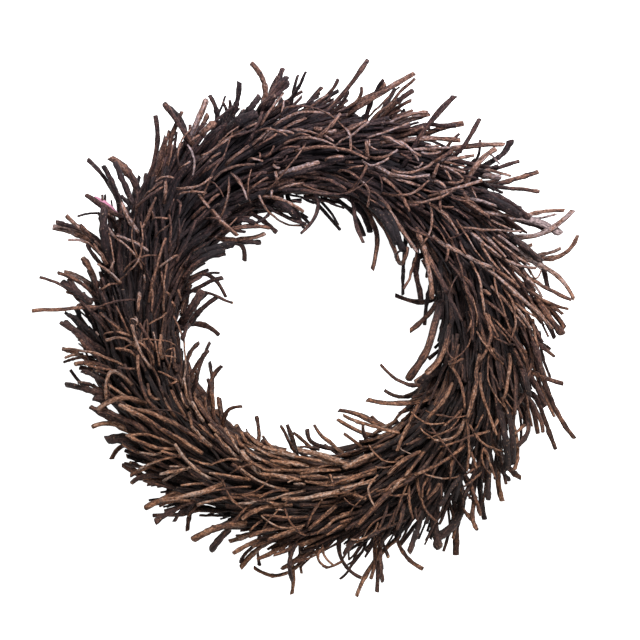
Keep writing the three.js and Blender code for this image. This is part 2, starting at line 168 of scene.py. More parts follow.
innerTwigs = [
    [233, 303, 210, 295, 3], [223, 278, 200, 289, 4], [218, 299, 197, 312, 4], [226, 297, 213, 279, 3.5],
    [219, 273, 207, 273, 2.5], [244, 260, 240, 243, 4.5], [265, 234, 228, 239, 4], [277, 233, 252, 214, 4],
    [303, 212, 275, 199, 4.5], [309, 209, 295, 203, 3], [306, 217, 284, 208, 4], [302, 228, 299, 218, 3.5],
    [301, 234, 317, 213, 3], [306, 225, 268, 210, 3.5], [340, 229, 325, 212, 3.5], [363, 243, 354, 219, 3],
    [368, 235, 368, 224, 3], [372, 270, 374, 230, 3.5], [399, 262, 384, 231, 4.5], [402, 295, 405, 262, 3],
    [404, 287, 412, 262, 4], [420, 300, 415, 275, 4], [396, 295, 432, 300, 4.5], [425, 325, 431, 285, 4],
    [410, 331, 433, 309, 4.5], [381, 365, 410, 385, 3.5], [385, 391, 405, 398, 4.5], [367, 399, 400, 403, 5],
    [339, 411, 383, 426, 4.5], [338, 420, 380, 436, 4], [372, 417, 381, 425, 3.5], [363, 424, 368, 438, 3.5],
    [344, 433, 357, 443, 3], [314, 425, 335, 448, 4], [307, 430, 315, 445, 4.5], [294, 432, 308, 444, 3.5],
    [287, 425, 293, 443, 3.5], [281, 425, 292, 444, 3.5], [263, 440, 273, 448, 4.5], [256, 417, 258, 440, 3.5],
    [245, 433, 258, 445, 5], [236, 426, 241, 437, 5], [242, 407, 227, 414, 4], [219, 399, 221, 412, 3],
    [208, 379, 211, 395, 4], [205, 391, 193, 399, 3], [222, 365, 211, 385, 4], [209, 361, 212, 380, 4],
    [208, 351, 192, 376, 4], [199, 343, 185, 364, 3.5], [198, 370, 196, 382, 4], [219, 335, 200, 325, 3.5],
]
# How the solids place the roots of those twigs, and the twigs of the ring's body. A cut end lies
# within "offMost" of a point of its solid.
strayRule = {
    "rootShares": (0.46, 0.95), "rootDepths": (13, 24), "viaRise": 0.8, "leanSpread": 0.7,
    "tries": 300, "leastLead": 1, "heights": (6, 72), "offMost": 2.0,
}
fillRule = {
    "slots": 8, "tries": 24, "leans": (-22, 202), "leads": (24, 40), "viaLeads": (0.4, 0.55), "waist": 29,
    "viaReach": 0.7, "reaches": (33, 62), "reachPower": 1.5, "radii": (1.5, 2.1), "cutRise": 0.4, "lowest": 3.2,
    "offMost": 0.2,
}


def strayTries():
    # every try at each twig whose tip was read from the photograph: one row a twig, one column a try
    tipX, tipY, viaX, viaY, thickness = np.array(outerTwigs + innerTwigs, float).T[:, :, None]
    index = np.arange(tipX.shape[0])[:, None]
    attempt = np.arange(strayRule["tries"])[None, :]
    pick = [draw(1, index, attempt, n) for n in range(4)]
    tipHeight = mix(*strayRule["heights"], pick[0])
    viaHeight = mix(wreath["middle"], tipHeight, strayRule["viaRise"])
    via = photoPoint(viaX, viaY, viaHeight)
    clock, out = ringPlace(via)
    latest = (clock - strayRule["leastLead"]) / sector
    first, last = strayRule["rootShares"]
    bunch = np.floor(latest - first) - attempt % 2
    rootClock = (bunch + mix(first, np.minimum(last, latest - bunch), pick[1])) * sector
    spread = strayRule["leanSpread"]
    lean = np.arctan2(viaHeight - wreath["middle"], out) + mix(-spread, spread, pick[2])
    root = leanPoint(rootClock, lean, mix(*strayRule["rootDepths"], pick[3]), fillRule["lowest"])
    tip = photoPoint(tipX, tipY, tipHeight)
    radius = np.broadcast_to(thickness * photo["mmPerPixel"] / 2, pick[0].shape)
    return bunch.astype(int) % wreath["bunches"], root, via, tip, radius


def fillTries():
    # every try at each twig of the ring's body: one row a twig, one column a try
    bunch, slot = np.divmod(np.arange(wreath["bunches"] * fillRule["slots"]), fillRule["slots"])
    bunch, slot, attempt = bunch[:, None], slot[:, None], np.arange(fillRule["tries"])[None, :]
    pick = [draw(2, bunch, slot, attempt, n) for n in range(7)]
    lean = np.radians(mix(*fillRule["leans"], (slot + pick[0]) / fillRule["slots"]))
    rootClock = (bunch + mix(*strayRule["rootShares"], pick[1])) * sector
    lead = mix(*fillRule["leads"], pick[2])
    reach = mix(*fillRule["reaches"], pick[3] ** fillRule["reachPower"])
    lowest = fillRule["lowest"]
    root = leanPoint(rootClock, lean, mix(*strayRule["rootDepths"], pick[5]), lowest)
    viaClock = rootClock + lead * mix(*fillRule["viaLeads"], pick[6])
    via = leanPoint(viaClock, lean, mix(fillRule["waist"], fillRule["viaReach"] * reach, 0.5), lowest)
    tip = leanPoint(rootClock + lead, lean, reach, lowest)
    return np.broadcast_to(bunch, pick[0].shape), root, via, tip, mix(*fillRule["radii"], pick[4])


def solidPoints(bunch):
    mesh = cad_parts[f"twig_bunch_{bunch + 1:02d}"].data
    flat = np.empty(len(mesh.vertices) * 3, np.float32)
    mesh.vertices.foreach_get("co", flat)
    return flat.reshape(-1, 3) * 1000


def modelledTwigs(tries, offMost):
    # of a twig's tries, the one whose cut end is a point of its bunch's solid
    bunch, root, via, tip, radius = tries
    control = bowControl(root, via, tip)
    apex = tip + unit(tip - control) * fillRule["cutRise"] * radius[..., None]
    off = np.full(bunch.shape, np.inf)
    for number in range(wreath["bunches"]):
        here = bunch == number
        apart = apex[here][:, None] - solidPoints(number)[None]
        off[here] = np.linalg.norm(apart, axis=-1).min(axis=1)
    best = off.argmin(axis=1)
    rows = np.flatnonzero(off.min(axis=1) < offMost)
    at = (rows, best[rows])
    return {"bunch": bunch[at], "root": root[at], "control": control[at], "tip": tip[at], "radius": radius[at]}


rng = np.random.default_rng(wreath["seed"])

# Twigs on the face of the ring, read from the photograph in its pixels: root end, middle, tip,
# thickness, and tone of the bark from 0, near black, over 0.7, orange, to 1, grey
faceTwigs = [
    (314.5, 138.5, 328, 128.5, 340, 114, 5, 0.6), (315.5, 129, 318.5, 129, 321.5, 129, 5, 0.7),
    (319, 179, 333, 181.5, 346, 189.5, 4, 0.64), (324, 136, 328, 137.5, 333, 141, 3, 0.84),
    (327.5, 133.5, 331.5, 131.5, 335.5, 130.5, 5, 0.74), (325.5, 160, 335.5, 156.5, 344, 156.5, 3.5, 0.78),
    (334.5, 145.5, 336, 148.5, 338.5, 151, 2.5, 0.84), (335.5, 146, 342.5, 140, 348.5, 136.5, 2.5, 0.84),
    (344.5, 128, 350.5, 139, 350.5, 152.5, 3, 0.78), (338.5, 172, 351.5, 173, 359.5, 179, 3, 0.62),
    (347, 131.5, 357.5, 125.5, 366.5, 120.5, 3.5, 0.74), (349, 137, 358.5, 130, 369, 121.5, 3, 0.84),
    (346.5, 162.5, 350, 162, 353, 162, 3, 0.62), (352.5, 146, 357.5, 150, 362.5, 152.5, 2, 0.6),
    (347, 170.5, 355, 167, 363, 166, 3, 0.68), (345.5, 193, 358.5, 182, 367, 165, 4, 0.66),
    (367, 138, 390.5, 130, 409.5, 123, 3, 0.82), (362.5, 160.5, 373, 165, 388.5, 158.5, 3, 0.9),
    (369.5, 147.5, 369.5, 143.5, 369.5, 139.5, 2, 0.84), (367.5, 159, 367, 150, 366.5, 141, 5, 0.78),
    (371.5, 147.5, 374, 148.5, 377, 150, 2.5, 0.8), (360.5, 181, 368, 189, 367.5, 207, 3.5, 0.88),
    (370, 157, 384, 157, 397.5, 150, 3.5, 0.78), (367, 171, 379.5, 176, 381.5, 192.5, 2, 0.55),
    (380.5, 136, 393, 140, 404.5, 147, 3.5, 0.86), (381, 143, 403, 143.5, 418, 160.5, 4, 0.84),
    (375, 166, 401, 176, 429.5, 175, 5, 0.92), (370, 191, 381, 198, 390.5, 209.5, 3.5, 0.74),
    (369, 199.5, 376, 203, 384, 208, 3, 0.76), (383, 178, 390.5, 184, 397.5, 191, 4, 0.78),
    (388.5, 175.5, 403.5, 181, 420, 186, 3.5, 0.88), (392, 170.5, 414, 172.5, 433, 162, 4, 0.84),
    (400.5, 154.5, 406.5, 156.5, 412, 159, 3, 0.5), (382, 193, 407, 194.5, 429, 180.5, 3.5, 0.82),
    (380, 198, 398, 224, 417, 252, 5, 0.95), (411, 151, 416, 153.5, 421, 156, 3, 0.78),
    (413, 149.5, 432, 148.5, 451, 147.5, 3.5, 0.82), (421, 152, 430, 154, 440.5, 151.5, 3, 0.86),
    (426, 145.5, 433, 146, 439.5, 145.5, 2.5, 0.86), (397.5, 191, 404.5, 200, 409, 211, 4.5, 0.78),
    (414.5, 167.5, 419.5, 166.5, 422.5, 162.5, 2.5, 0.86), (397, 203, 400, 205.5, 403.5, 207.5, 3, 0.62),
    (407, 194, 413, 196.5, 419, 198.5, 2, 0.6), (433, 162, 443, 157, 452, 150.5, 5, 0.62),
    (413, 191, 419, 195, 425, 198.5, 2.5, 0.7), (406.5, 201.5, 433, 200, 457, 187.5, 3.5, 0.86),
    (441.5, 161, 451, 159, 465, 157, 4, 0.78), (407, 205.5, 412.5, 205, 418, 205, 3, 0.62),
    (440.5, 163.5, 453, 163.5, 465, 166.5, 3, 0.72), (421, 188.5, 429, 191, 440.5, 191.5, 3, 0.7),
    (440.5, 166, 450, 168.5, 465, 172.5, 3.5, 0.84), (440.5, 167, 453, 170.5, 463, 178, 3, 0.76),
    (432.5, 177.5, 436, 170, 438.5, 164, 4, 0.68), (434.5, 181.5, 441.5, 183.5, 446, 188, 4, 0.8),
    (444.5, 170.5, 449, 176, 451, 180, 3, 0.76), (429.5, 203, 432, 223, 422, 244, 3, 0.86),
    (430.5, 205, 446.5, 216, 458, 234, 4, 0.82), (439, 198, 440, 203, 440.5, 210, 3.5, 0.6),
    (448, 193, 457, 199.5, 471, 201, 2.5, 0.7), (463, 178.5, 456, 182.5, 448.5, 182.5, 3, 0.82),
    (441.5, 206.5, 447.5, 207, 453.5, 207.5, 3, 0.68), (443, 207, 456, 210, 469, 219, 2.5, 0.5),
    (456.5, 196.5, 463, 198, 469.5, 200, 2, 0.8), (441, 213, 451, 223, 458, 233, 3, 0.74),
    (471, 188, 491, 194, 515, 206, 4.5, 0.45), (472, 189.5, 474.5, 193.5, 476.5, 198, 2, 0.8),
    (432, 225.5, 439.5, 231, 446.5, 243.5, 2.5, 0.6), (441.5, 219, 450.5, 228.5, 457, 235, 2, 0.65),
    (439, 222, 445.5, 231, 450, 238.5, 2, 0.5), (396, 258, 400, 251, 407, 247, 3, 0.2),
    (470.5, 198.5, 488, 203, 509, 211, 3.5, 0.97), (433, 236, 458, 252.5, 493, 267, 4.5, 0.93),
    (424, 248, 444, 287, 462, 321, 4.5, 0.58), (457, 227, 482, 229.5, 521, 231, 3, 0.77),
    (479, 213, 500, 214.5, 526, 218, 4.5, 0.9), (467, 230, 458, 235.5, 447, 239.5, 2, 0.5),
    (451, 240, 458, 257, 462.5, 277, 3, 0.65), (446.5, 243.5, 448, 251, 446, 261, 3.5, 0.75),
    (470, 231.5, 484, 243.5, 501, 257, 3.5, 0.9), (491, 220, 500, 224.5, 510, 229, 2.5, 0.88),
    (460, 241, 463, 249, 466, 254, 3, 0.6), (480, 234, 491, 244, 505.5, 257.5, 2.5, 0.6),
    (487, 237.5, 497, 247.5, 505.5, 257, 3.5, 0.95), (481, 243, 486, 253, 500, 270, 3, 0.86),
    (498, 235, 518, 250, 541, 269, 3.5, 0.93), (493, 238, 511, 252.5, 530, 265, 4, 0.86),
    (448, 260, 463.5, 282, 478, 318, 4, 0.6), (485, 245, 504, 259.5, 536, 268, 4, 0.88),
    (471, 262, 479, 280, 484, 314, 3.5, 0.8), (496, 259, 507, 271, 519, 287, 2.5, 0.85),
    (481, 265, 511, 288, 552, 328, 4.5, 0.88), (464.5, 278, 468.5, 281.5, 472, 286, 4, 0.62),
    (510.5, 265, 526, 276, 542, 297, 4, 0.86), (496.5, 271.5, 508, 278, 519, 287.5, 4, 0.66),
    (512, 270.5, 518.5, 279, 525, 288, 2.5, 0.5), (530.5, 271, 537, 278, 541, 270.5, 2.5, 0.75),
    (491, 286, 506, 303, 526.5, 327.5, 3, 0.88), (483.5, 291, 487, 292.5, 490.5, 295, 4, 0.88),
    (466, 296, 472.5, 318, 472, 340, 3, 0.66), (508, 292.5, 515.5, 296, 523, 300, 3, 0.65),
    (485, 301, 498, 310, 508, 320, 4, 0.6), (507, 299, 518.5, 311, 531, 329, 4, 0.9),
    (510.5, 300, 523, 309, 536, 317, 3, 0.72), (524.5, 300.5, 537, 311, 551, 327, 3.5, 0.76),
    (468.5, 312, 471, 324, 467, 332, 3, 0.68), (485, 314, 490, 339, 478, 362, 4.5, 0.75),
    (488, 314, 492.5, 325, 498, 337, 3, 0.72), (492, 317, 509, 335, 527, 364, 3, 0.74),
    (471, 320, 468, 345, 449, 362, 2.5, 0.72), (533, 319, 537, 345, 546, 376, 3, 0.72),
    (533, 320, 533, 325, 534, 331, 3, 0.6), (448.5, 325, 446, 338, 442, 350, 3, 0.6),
    (449, 325, 441, 352, 425, 372, 3.5, 0.62), (495, 325, 504, 335, 510, 343, 2.5, 0.75),
    (521, 328, 525, 336, 528, 344, 3, 0.5), (508, 329.5, 518, 342, 526.5, 353, 3, 0.68),
    (539.5, 331.5, 542, 352, 550, 377, 4, 0.4), (493.5, 336.5, 504, 342, 515.5, 345, 2.5, 0.68),
    (452.5, 335, 453, 343, 453, 350, 2.5, 0.66), (531, 345, 529, 380, 511, 415, 4, 0.6),
    (488.5, 343, 496, 357, 503, 364, 4, 0.8), (450.5, 340, 450, 356, 455.5, 361, 2.5, 0.66),
    (514.5, 349, 519.5, 360, 525, 370, 4, 0.6), (493, 349, 498, 354, 503.5, 360, 3, 0.78),
    (509, 354, 509, 377, 504, 398, 4, 0.86), (480, 355, 475, 385, 467.5, 417, 5, 0.85),
    (488, 364, 494, 377, 500, 390, 3, 0.5), (462, 365.5, 462.5, 372, 462, 379.5, 3, 0.65),
    (524, 385, 528, 405, 532, 426, 3, 0.6), (480, 373, 486, 407, 497, 435, 4, 0.85),
    (450, 365, 462, 388, 464.5, 409, 3.5, 0.78), (507.5, 394, 511, 398, 515, 402, 2.5, 0.7),
    (502, 397.5, 508.5, 415, 514.5, 429.5, 3.5, 0.78), (505.5, 399.5, 509, 405, 513, 410, 2.5, 0.8),
    (452, 384, 441, 403, 427.5, 418.5, 5, 0.88), (524.5, 425, 519, 430, 513, 434.5, 3.5, 0.75),
    (498.5, 416.5, 497, 422, 494, 427.5, 4, 0.74), (483, 415, 479, 423, 474, 432, 2.5, 0.75),
    (499, 425, 499.5, 432, 498.5, 439.5, 3, 0.66), (462, 409.5, 453.5, 418, 444, 426, 3.5, 0.72),
    (489, 431, 455, 442, 440, 446.5, 3, 0.76), (466.5, 419, 469, 445, 467, 471, 3.5, 0.72),
    (464, 419, 455, 436, 434, 440, 4, 0.93), (470, 425, 481, 441, 506, 452, 3, 0.86),
    (484, 448, 482, 460, 490, 474, 2.5, 0.78), (484, 449, 490, 463, 495, 478, 3.5, 0.75),
    (444, 423, 427, 423, 411.5, 412, 2.5, 0.74), (418, 405, 404, 434, 397, 451, 5, 0.68),
    (465, 445, 442, 462, 415, 475, 4, 0.7), (470.5, 451.5, 474, 460, 476.5, 468, 3, 0.74),
    (480, 466, 472, 470, 464, 476, 3, 0.7), (483, 471, 474, 479, 464.5, 486.5, 3, 0.7),
    (424, 429, 440, 434, 461, 424, 2.5, 0.5), (436.5, 442, 428, 435.5, 420.5, 428.5, 2.5, 0.72),
    (452, 459, 451, 470, 450, 480, 3, 0.74), (461, 475, 439, 478, 425, 474, 2.5, 0.94),
    (460, 475.5, 450, 491, 439.5, 505.5, 6, 0.4), (419, 438.5, 413, 442, 406.5, 444.5, 3, 0.6),
    (462.5, 485.5, 463, 495, 462.5, 505.5, 3.5, 0.62), (464, 491, 469, 496, 474, 502, 3, 0.72),
    (424, 452, 414, 465, 405, 476, 4, 0.8), (420, 452, 400, 463, 388, 474.5, 5, 0.84),
    (441, 484, 441.5, 492, 441, 499.5, 3.5, 0.66), (439, 484, 433.5, 492.5, 427.5, 498.5, 4, 0.8),
    (428, 479, 423, 488, 422, 497.5, 3.5, 0.66), (410, 455.5, 393, 466.5, 375.5, 467, 2.5, 0.76),
    (430.5, 483.5, 429, 490, 427, 495.5, 3, 0.6), (401, 448, 405, 451.5, 411, 454, 1.5, 1),
    (418, 474, 405, 477.5, 384, 492, 4, 0.72), (403, 456, 399, 458, 395, 460.5, 3, 0.76),
    (417, 478, 424, 506, 437, 522, 4, 0.72), (410, 473, 390, 493, 356, 527, 6.5, 0.62),
    (399, 461, 381, 459, 369, 445, 2, 0.74), (410, 478, 400, 482, 391.5, 492, 3.5, 0.9),
    (409, 486, 410, 506, 413, 519, 3.5, 0.76), (421, 508.5, 420, 514, 417, 520, 3, 0.6),
    (408, 493.5, 401, 495, 395, 495.5, 2, 0.7), (407.5, 494, 398, 496, 389.5, 495, 2, 0.66),
    (415.5, 508.5, 416, 514, 417, 520, 3, 0.72), (404, 504, 401, 518, 397.5, 529.5, 5, 0.62),
    (401.5, 499.5, 400, 504, 398, 509.5, 4, 0.66), (400.5, 503.5, 393.5, 516, 387, 528, 4.5, 0.7),
    (372, 455, 360, 460, 344, 468, 6, 0.87), (376, 469, 358, 475, 330, 484, 3.5, 0.66),
    (378, 475, 369, 493, 376, 508, 2.5, 0.86), (376, 472, 358, 477.5, 340, 483, 3.5, 0.72),
    (388, 504.5, 384, 517.5, 379, 528, 3.5, 0.72), (374, 480, 357, 485, 340, 489, 5, 0.87),
    (356, 485, 320, 496, 282, 499, 5, 0.87), (361, 506, 353, 505.5, 344, 497.5, 2, 0.5),
    (349, 465, 325, 457, 298, 449.5, 7, 0.82), (355.5, 492, 348, 494, 340, 496, 3, 0.78),
    (350, 477, 342, 477, 333.5, 477.5, 3.5, 0.86), (350, 481, 333, 485, 317, 485, 3, 0.68),
    (352, 494, 358, 496, 366, 499, 5, 0.82), (353, 517.5, 347, 520, 340, 522.5, 3, 0.55),
    (351.5, 511.5, 346, 513, 340, 515, 3, 0.6), (349.5, 513.5, 331.5, 522.5, 317, 533.5, 3.5, 0.72),
    (340, 470, 322, 470.5, 300, 474, 4, 0.68), (349.5, 520.5, 338, 528, 326.5, 535, 4, 0.68),
    (338, 465.5, 320, 467, 305, 475, 2.5, 0.76), (337.5, 496, 325, 497, 312, 500.5, 3, 0.8),
    (330, 462, 300, 457, 268, 452, 5, 0.85), (336, 506, 322, 518, 309, 529, 5, 0.76),
    (330, 463, 309.5, 459, 295, 456.5, 4.5, 0.76), (330, 478.5, 315, 476, 300, 477, 3, 0.78),
    (330, 482, 317, 483, 305, 481.5, 3, 0.72), (329, 475, 332, 480, 333.5, 486, 3, 0.7),
    (319, 449.5, 308, 447, 297, 447.5, 4, 0.4), (322, 500, 314, 511, 307, 527, 3, 0.66),
    (314, 468, 296, 471, 281, 469, 4, 0.64), (307.5, 516.5, 285, 517, 263, 515, 4, 0.6),
    (308, 466, 291, 463, 271, 461, 5, 0.74), (305.5, 535, 293, 526, 285, 509, 2.5, 0.6),
    (304.5, 525, 275, 525, 261, 515.5, 2.5, 0.72), (305.5, 490, 264, 500, 236, 504, 3.5, 0.9),
    (304.5, 484.5, 299, 484, 294, 484, 3, 0.9), (301, 528.5, 285, 533, 268, 539.5, 4.5, 0.75),
    (300, 480, 280, 476, 260, 474, 6, 0.77), (301, 459, 283, 452, 263, 447, 5, 0.78),
    (294.5, 527.5, 272, 529, 250, 536.5, 5, 0.5), (292, 505, 277, 504, 263, 499, 3, 0.88),
    (294.5, 480, 291, 481, 287.5, 482.5, 2, 0.76), (295, 461, 270, 455, 250, 443.5, 4, 0.72),
    (288.5, 490.5, 272, 492, 259.5, 497.5, 3.5, 0.6), (293, 457, 277, 450, 264.5, 440.5, 3.5, 0.62),
    (291, 466, 265.5, 461.5, 245, 448.5, 4.5, 0.7), (283, 510, 279, 510, 275.5, 510, 2, 0.8),
    (283, 505, 256.5, 510, 242, 519, 6, 0.74), (285, 489, 253.5, 478, 239, 466.5, 3, 0.8),
    (287, 470, 263.5, 468.5, 240, 453.5, 4.5, 0.66), (261.5, 521, 256, 525, 250, 530.5, 3, 0.66),
    (262, 496, 232, 497, 197, 505, 4.5, 0.72), (251, 504, 243, 511, 236, 520, 3, 0.66),
    (259.5, 473, 248.5, 461, 241, 450.5, 6, 0.84), (240, 515, 228, 529, 212, 551, 6, 0.4),
    (265, 448, 256, 442, 247, 432.5, 4.5, 0.68), (250, 480, 225, 475, 209, 473, 4, 0.76),
    (252, 445, 245.5, 440, 241, 432, 4, 0.62), (244, 459, 235, 445, 225, 428, 3.5, 0.84),
    (242, 461, 224, 460, 212, 464.5, 3, 0.8), (246, 449, 240, 443, 236, 435, 4.5, 0.6),
    (243, 450, 252, 455, 261, 459.5, 4, 0.9), (224, 483, 195, 494, 160, 500, 5, 0.8),
    (236, 456, 225, 445, 215, 434, 4, 0.86), (211, 479, 190, 464, 175, 444, 4.5, 0.9),
    (207, 484, 194, 484, 181, 485.5, 3, 0.76), (190, 501, 175, 501, 160, 506, 3.5, 0.62),
    (212, 465, 200, 462, 189, 458, 3, 0.8), (211, 446, 200, 436, 191, 426, 4.5, 0.88),
    (209, 446, 193, 435, 176, 424, 4, 0.7), (190, 468, 176, 471, 160, 474, 4.5, 0.8),
    (202, 453, 183, 441, 163, 429, 5, 0.76), (218, 433, 213, 429, 209, 424, 4, 0.76),
    (213.5, 438, 206, 431, 199, 425, 3.5, 0.72), (184, 469, 173, 475, 163, 481, 4, 0.78),
    (199, 452, 160, 427.5, 119, 404.5, 4.5, 0.78), (182, 467, 176, 466.5, 170, 466.5, 2.5, 0.85),
    (200, 440, 172, 421.5, 138, 410, 6, 0.84), (185, 455, 160, 460, 138, 470, 3.5, 0.7),
    (183, 456.5, 170, 454, 161, 450.5, 3.5, 0.62), (180, 457, 172, 455, 165, 453, 3, 0.55),
    (198, 437, 191, 424, 189, 412, 4, 0.84), (178, 449, 152, 446, 128, 436, 4.5, 0.76),
    (177, 446, 152, 436, 126, 436, 3.5, 0.78), (203, 421, 197, 412, 192, 402, 5, 0.88),
    (161, 453, 150, 454, 140, 452.5, 3, 0.82), (186, 420, 177, 402, 171, 390, 4.5, 0.84),
    (139.5, 453, 132, 450.5, 122.5, 444.5, 3, 0.62), (176, 418, 169, 408, 164, 398, 4, 0.86),
    (150, 434, 125, 419, 100, 409, 6, 0.5), (187.5, 407, 183, 401, 181, 392.5, 3, 0.78),
    (190, 404, 186, 393, 184, 378, 4, 0.78), (165, 415, 143, 391, 138, 355, 5, 0.68),
    (164, 400.5, 161, 389, 157.5, 376.5, 3, 0.62), (159, 399, 150, 394, 148, 384, 4, 0.86),
    (137, 409, 131, 407, 125.5, 404.5, 3, 0.7), (144, 403, 126, 399, 109, 402, 3.5, 0.7),
    (134, 401, 119, 392, 108, 384.5, 4, 0.86), (178, 382, 167, 375, 158.5, 371.5, 3, 0.76),
    (169, 385.5, 173, 383, 176.5, 381.5, 3, 0.74), (130.5, 394, 127, 390, 121, 383, 3, 0.7),
    (132, 385, 112, 371.5, 106, 399, 4.5, 0.85), (168, 370, 171, 360, 172, 352, 2, 0.78),
    (173, 368, 175, 358, 174, 348, 2, 0.76), (159, 366, 156, 345, 153, 332, 2.5, 0.8),
    (151, 368, 139, 349, 132, 325, 4.5, 0.85), (153, 366, 149, 351, 138.5, 342, 3, 0.8),
    (137, 369, 128, 368.5, 118, 367.5, 3.5, 0.58), (112, 370, 95, 367, 78, 362, 3, 0.62),
    (162, 358, 160, 347, 161, 335, 5, 0.76), (160, 358, 168, 356, 176, 358, 2, 0.8),
    (123, 365.5, 96, 354, 62, 349, 3.5, 0.78), (137, 357.5, 126, 350, 115.5, 348.5, 4, 0.78),
    (166, 352, 170, 349, 174, 348, 2, 0.78), (155, 350, 147, 337, 139.5, 324, 4.5, 0.64),
    (137, 348, 122, 338.5, 106, 340.5, 4.5, 0.84), (106, 339, 106.5, 333.5, 113, 332, 2.5, 0.84),
    (131, 336.5, 124, 333.5, 116.5, 331.5, 3.5, 0.78), (130, 335, 122, 319, 116, 306, 3, 0.74),
    (98, 335, 97, 333.5, 96, 332, 2.5, 0.95), (110, 334, 96, 317, 80, 301, 3.5, 0.55),
    (122, 331, 111, 322, 100, 313, 4, 0.76), (130, 323.5, 134, 319, 138, 322, 2, 0.82),
    (134, 317, 137, 321, 136.5, 325, 2.5, 0.84), (166, 313, 158, 319, 149, 324, 2.5, 0.74),
    (174.5, 307, 173.5, 304, 172, 301.5, 3, 0.74), (149, 302, 156, 270, 166, 238, 3.5, 0.7),
    (137, 300, 111, 302.5, 91, 312, 3, 0.6), (139, 293, 139, 300, 138, 311, 4, 0.9),
    (180.5, 299.5, 179.5, 294, 178.5, 289.5, 3, 0.76), (169.5, 295, 168, 293.5, 166, 292, 3, 0.82),
    (120, 284, 109, 285, 101, 290, 2.5, 0.78), (121, 283, 110, 273, 98, 264, 4, 0.88),
    (150, 289.5, 152, 282, 153.5, 275.5, 3.5, 0.66), (151, 285, 152.5, 300, 151.5, 311, 3, 0.76),
    (145, 282.5, 144.5, 278, 144, 274.5, 2.5, 0.95), (162, 286, 162, 279, 161.5, 272, 3, 0.6),
    (109, 270, 112, 266, 114, 261, 3, 0.78), (124, 272, 135, 260, 157, 255.5, 2.5, 0.75),
    (107, 264, 101, 255, 94, 244, 4, 0.76), (142, 269, 133, 253, 117, 239, 3, 0.74),
    (157, 270, 167, 261, 178, 255, 3, 0.77), (103.5, 247, 99, 244, 95, 241, 4, 0.85),
    (116, 238, 107, 227, 101, 215, 4, 0.8), (109, 234, 112, 250, 114, 262, 2.5, 0.76),
    (148, 251, 132, 241, 116.5, 236, 4, 0.92), (176, 262, 186, 243, 196, 220, 4, 0.5),
    (169, 252, 171, 233, 169, 215, 3.5, 0.66), (138, 232, 128, 217, 122, 203, 5.5, 0.88),
    (156, 237, 162, 230, 169, 225, 2, 0.84), (142, 228, 149, 214, 155, 199, 3, 0.77),
    (145, 225, 150, 210, 156, 197.5, 3, 0.84), (177.5, 244.5, 179, 232, 179, 219, 4, 0.5),
    (145, 224.5, 143, 226.5, 141.5, 228.5, 3, 0.8), (152, 220, 160, 217.5, 168, 218.5, 2.5, 0.86),
    (136, 208, 149.5, 196, 163, 187, 3.5, 0.7), (153.5, 218.5, 153, 215, 152, 211.5, 2.5, 0.74),
    (143, 199, 154, 187.5, 163, 181, 3, 0.74), (170, 214, 171, 207, 174, 199, 3, 0.5),
    (190.5, 229.5, 199, 218, 207, 209.5, 3, 0.6), (164, 203, 165.5, 191, 165.5, 181.5, 4, 0.88),
    (192, 218.5, 204.5, 206, 219, 194, 4, 0.62), (176.5, 200, 180.5, 206, 179, 215, 3, 0.45),
    (179.5, 194.5, 192, 191.5, 206.5, 193, 3, 0.86), (206, 219, 218, 219, 231, 229.5, 3, 0.64),
    (176.5, 188.5, 196, 186.5, 212.5, 176, 3, 0.86), (173.5, 178, 163, 177, 155.5, 181.5, 2.5, 0.84),
    (168, 165.5, 171, 155, 172.5, 144.5, 2, 0.72), (191, 188, 192.5, 190, 194.5, 191.5, 2, 0.8),
    (199, 195, 204.5, 202, 209.5, 208, 3.5, 0.86), (220, 218, 227.5, 197, 229, 177, 3, 0.76),
    (179.5, 169.5, 184.5, 165, 190, 161.5, 2.5, 0.72), (192.5, 176, 194, 159, 187.5, 145, 3, 0.86),
    (199, 174.5, 211.5, 165.5, 224.5, 157.5, 5, 0.64), (210.5, 182, 218.5, 188, 223.5, 197, 2, 0.66),
    (199, 160.5, 216, 147.5, 233.5, 135.5, 3.5, 0.86), (213.5, 179.5, 231, 167.5, 254.5, 164.5, 3.5, 0.84),
    (191, 145, 194, 138.5, 199.5, 135, 3, 0.6), (202, 156, 206, 153.5, 211, 152, 2.5, 0.74),
    (208, 162.5, 213.5, 156.5, 220.5, 153, 3, 0.82), (226, 165, 238.5, 153.5, 248.5, 146, 4.5, 0.9),
    (231, 173, 239, 182, 247, 199, 3.5, 0.95), (235.5, 176, 241, 183, 244, 190, 3, 0.55),
    (219, 142, 231, 137, 246, 131, 3, 0.6), (244, 186, 254, 179, 261, 172.5, 3, 0.62),
    (249.5, 189.5, 258.5, 183, 267.5, 177.5, 3, 0.7), (234, 134, 245.5, 128.5, 256.5, 123, 3.5, 0.72),
    (259, 195, 275, 218, 310, 225, 3, 0.78), (236, 136.5, 244.5, 133.5, 254.5, 129, 3, 0.66),
    (248, 161, 256, 159, 263, 161, 2.5, 0.76), (245.5, 145, 254.5, 131.5, 262, 112, 5, 0.5),
    (251.5, 145.5, 262, 136, 271, 127.5, 3, 0.84), (254.5, 147.5, 266, 141, 277, 133.5, 3, 0.62),
    (259, 153, 260, 156.5, 259.5, 160, 2, 0.74), (263.5, 157, 271, 152.5, 274, 146, 3, 0.62),
    (263, 140.5, 273, 131.5, 293.5, 133.5, 3, 0.86), (261, 125.5, 270.5, 110, 283.5, 93, 4, 0.74),
    (276.5, 183, 276.5, 177, 275.5, 171.5, 4, 0.88), (279, 189.5, 293, 185, 304, 183, 3.5, 0.86),
    (274, 165, 276.5, 167.5, 279.5, 168.5, 3.5, 0.84), (274, 161.5, 284, 160.5, 287.5, 155.5, 2.5, 0.5),
    (279, 173.5, 297, 168.5, 319, 162, 5.5, 0.93), (274, 125.5, 293, 115, 330, 114, 3.5, 0.86),
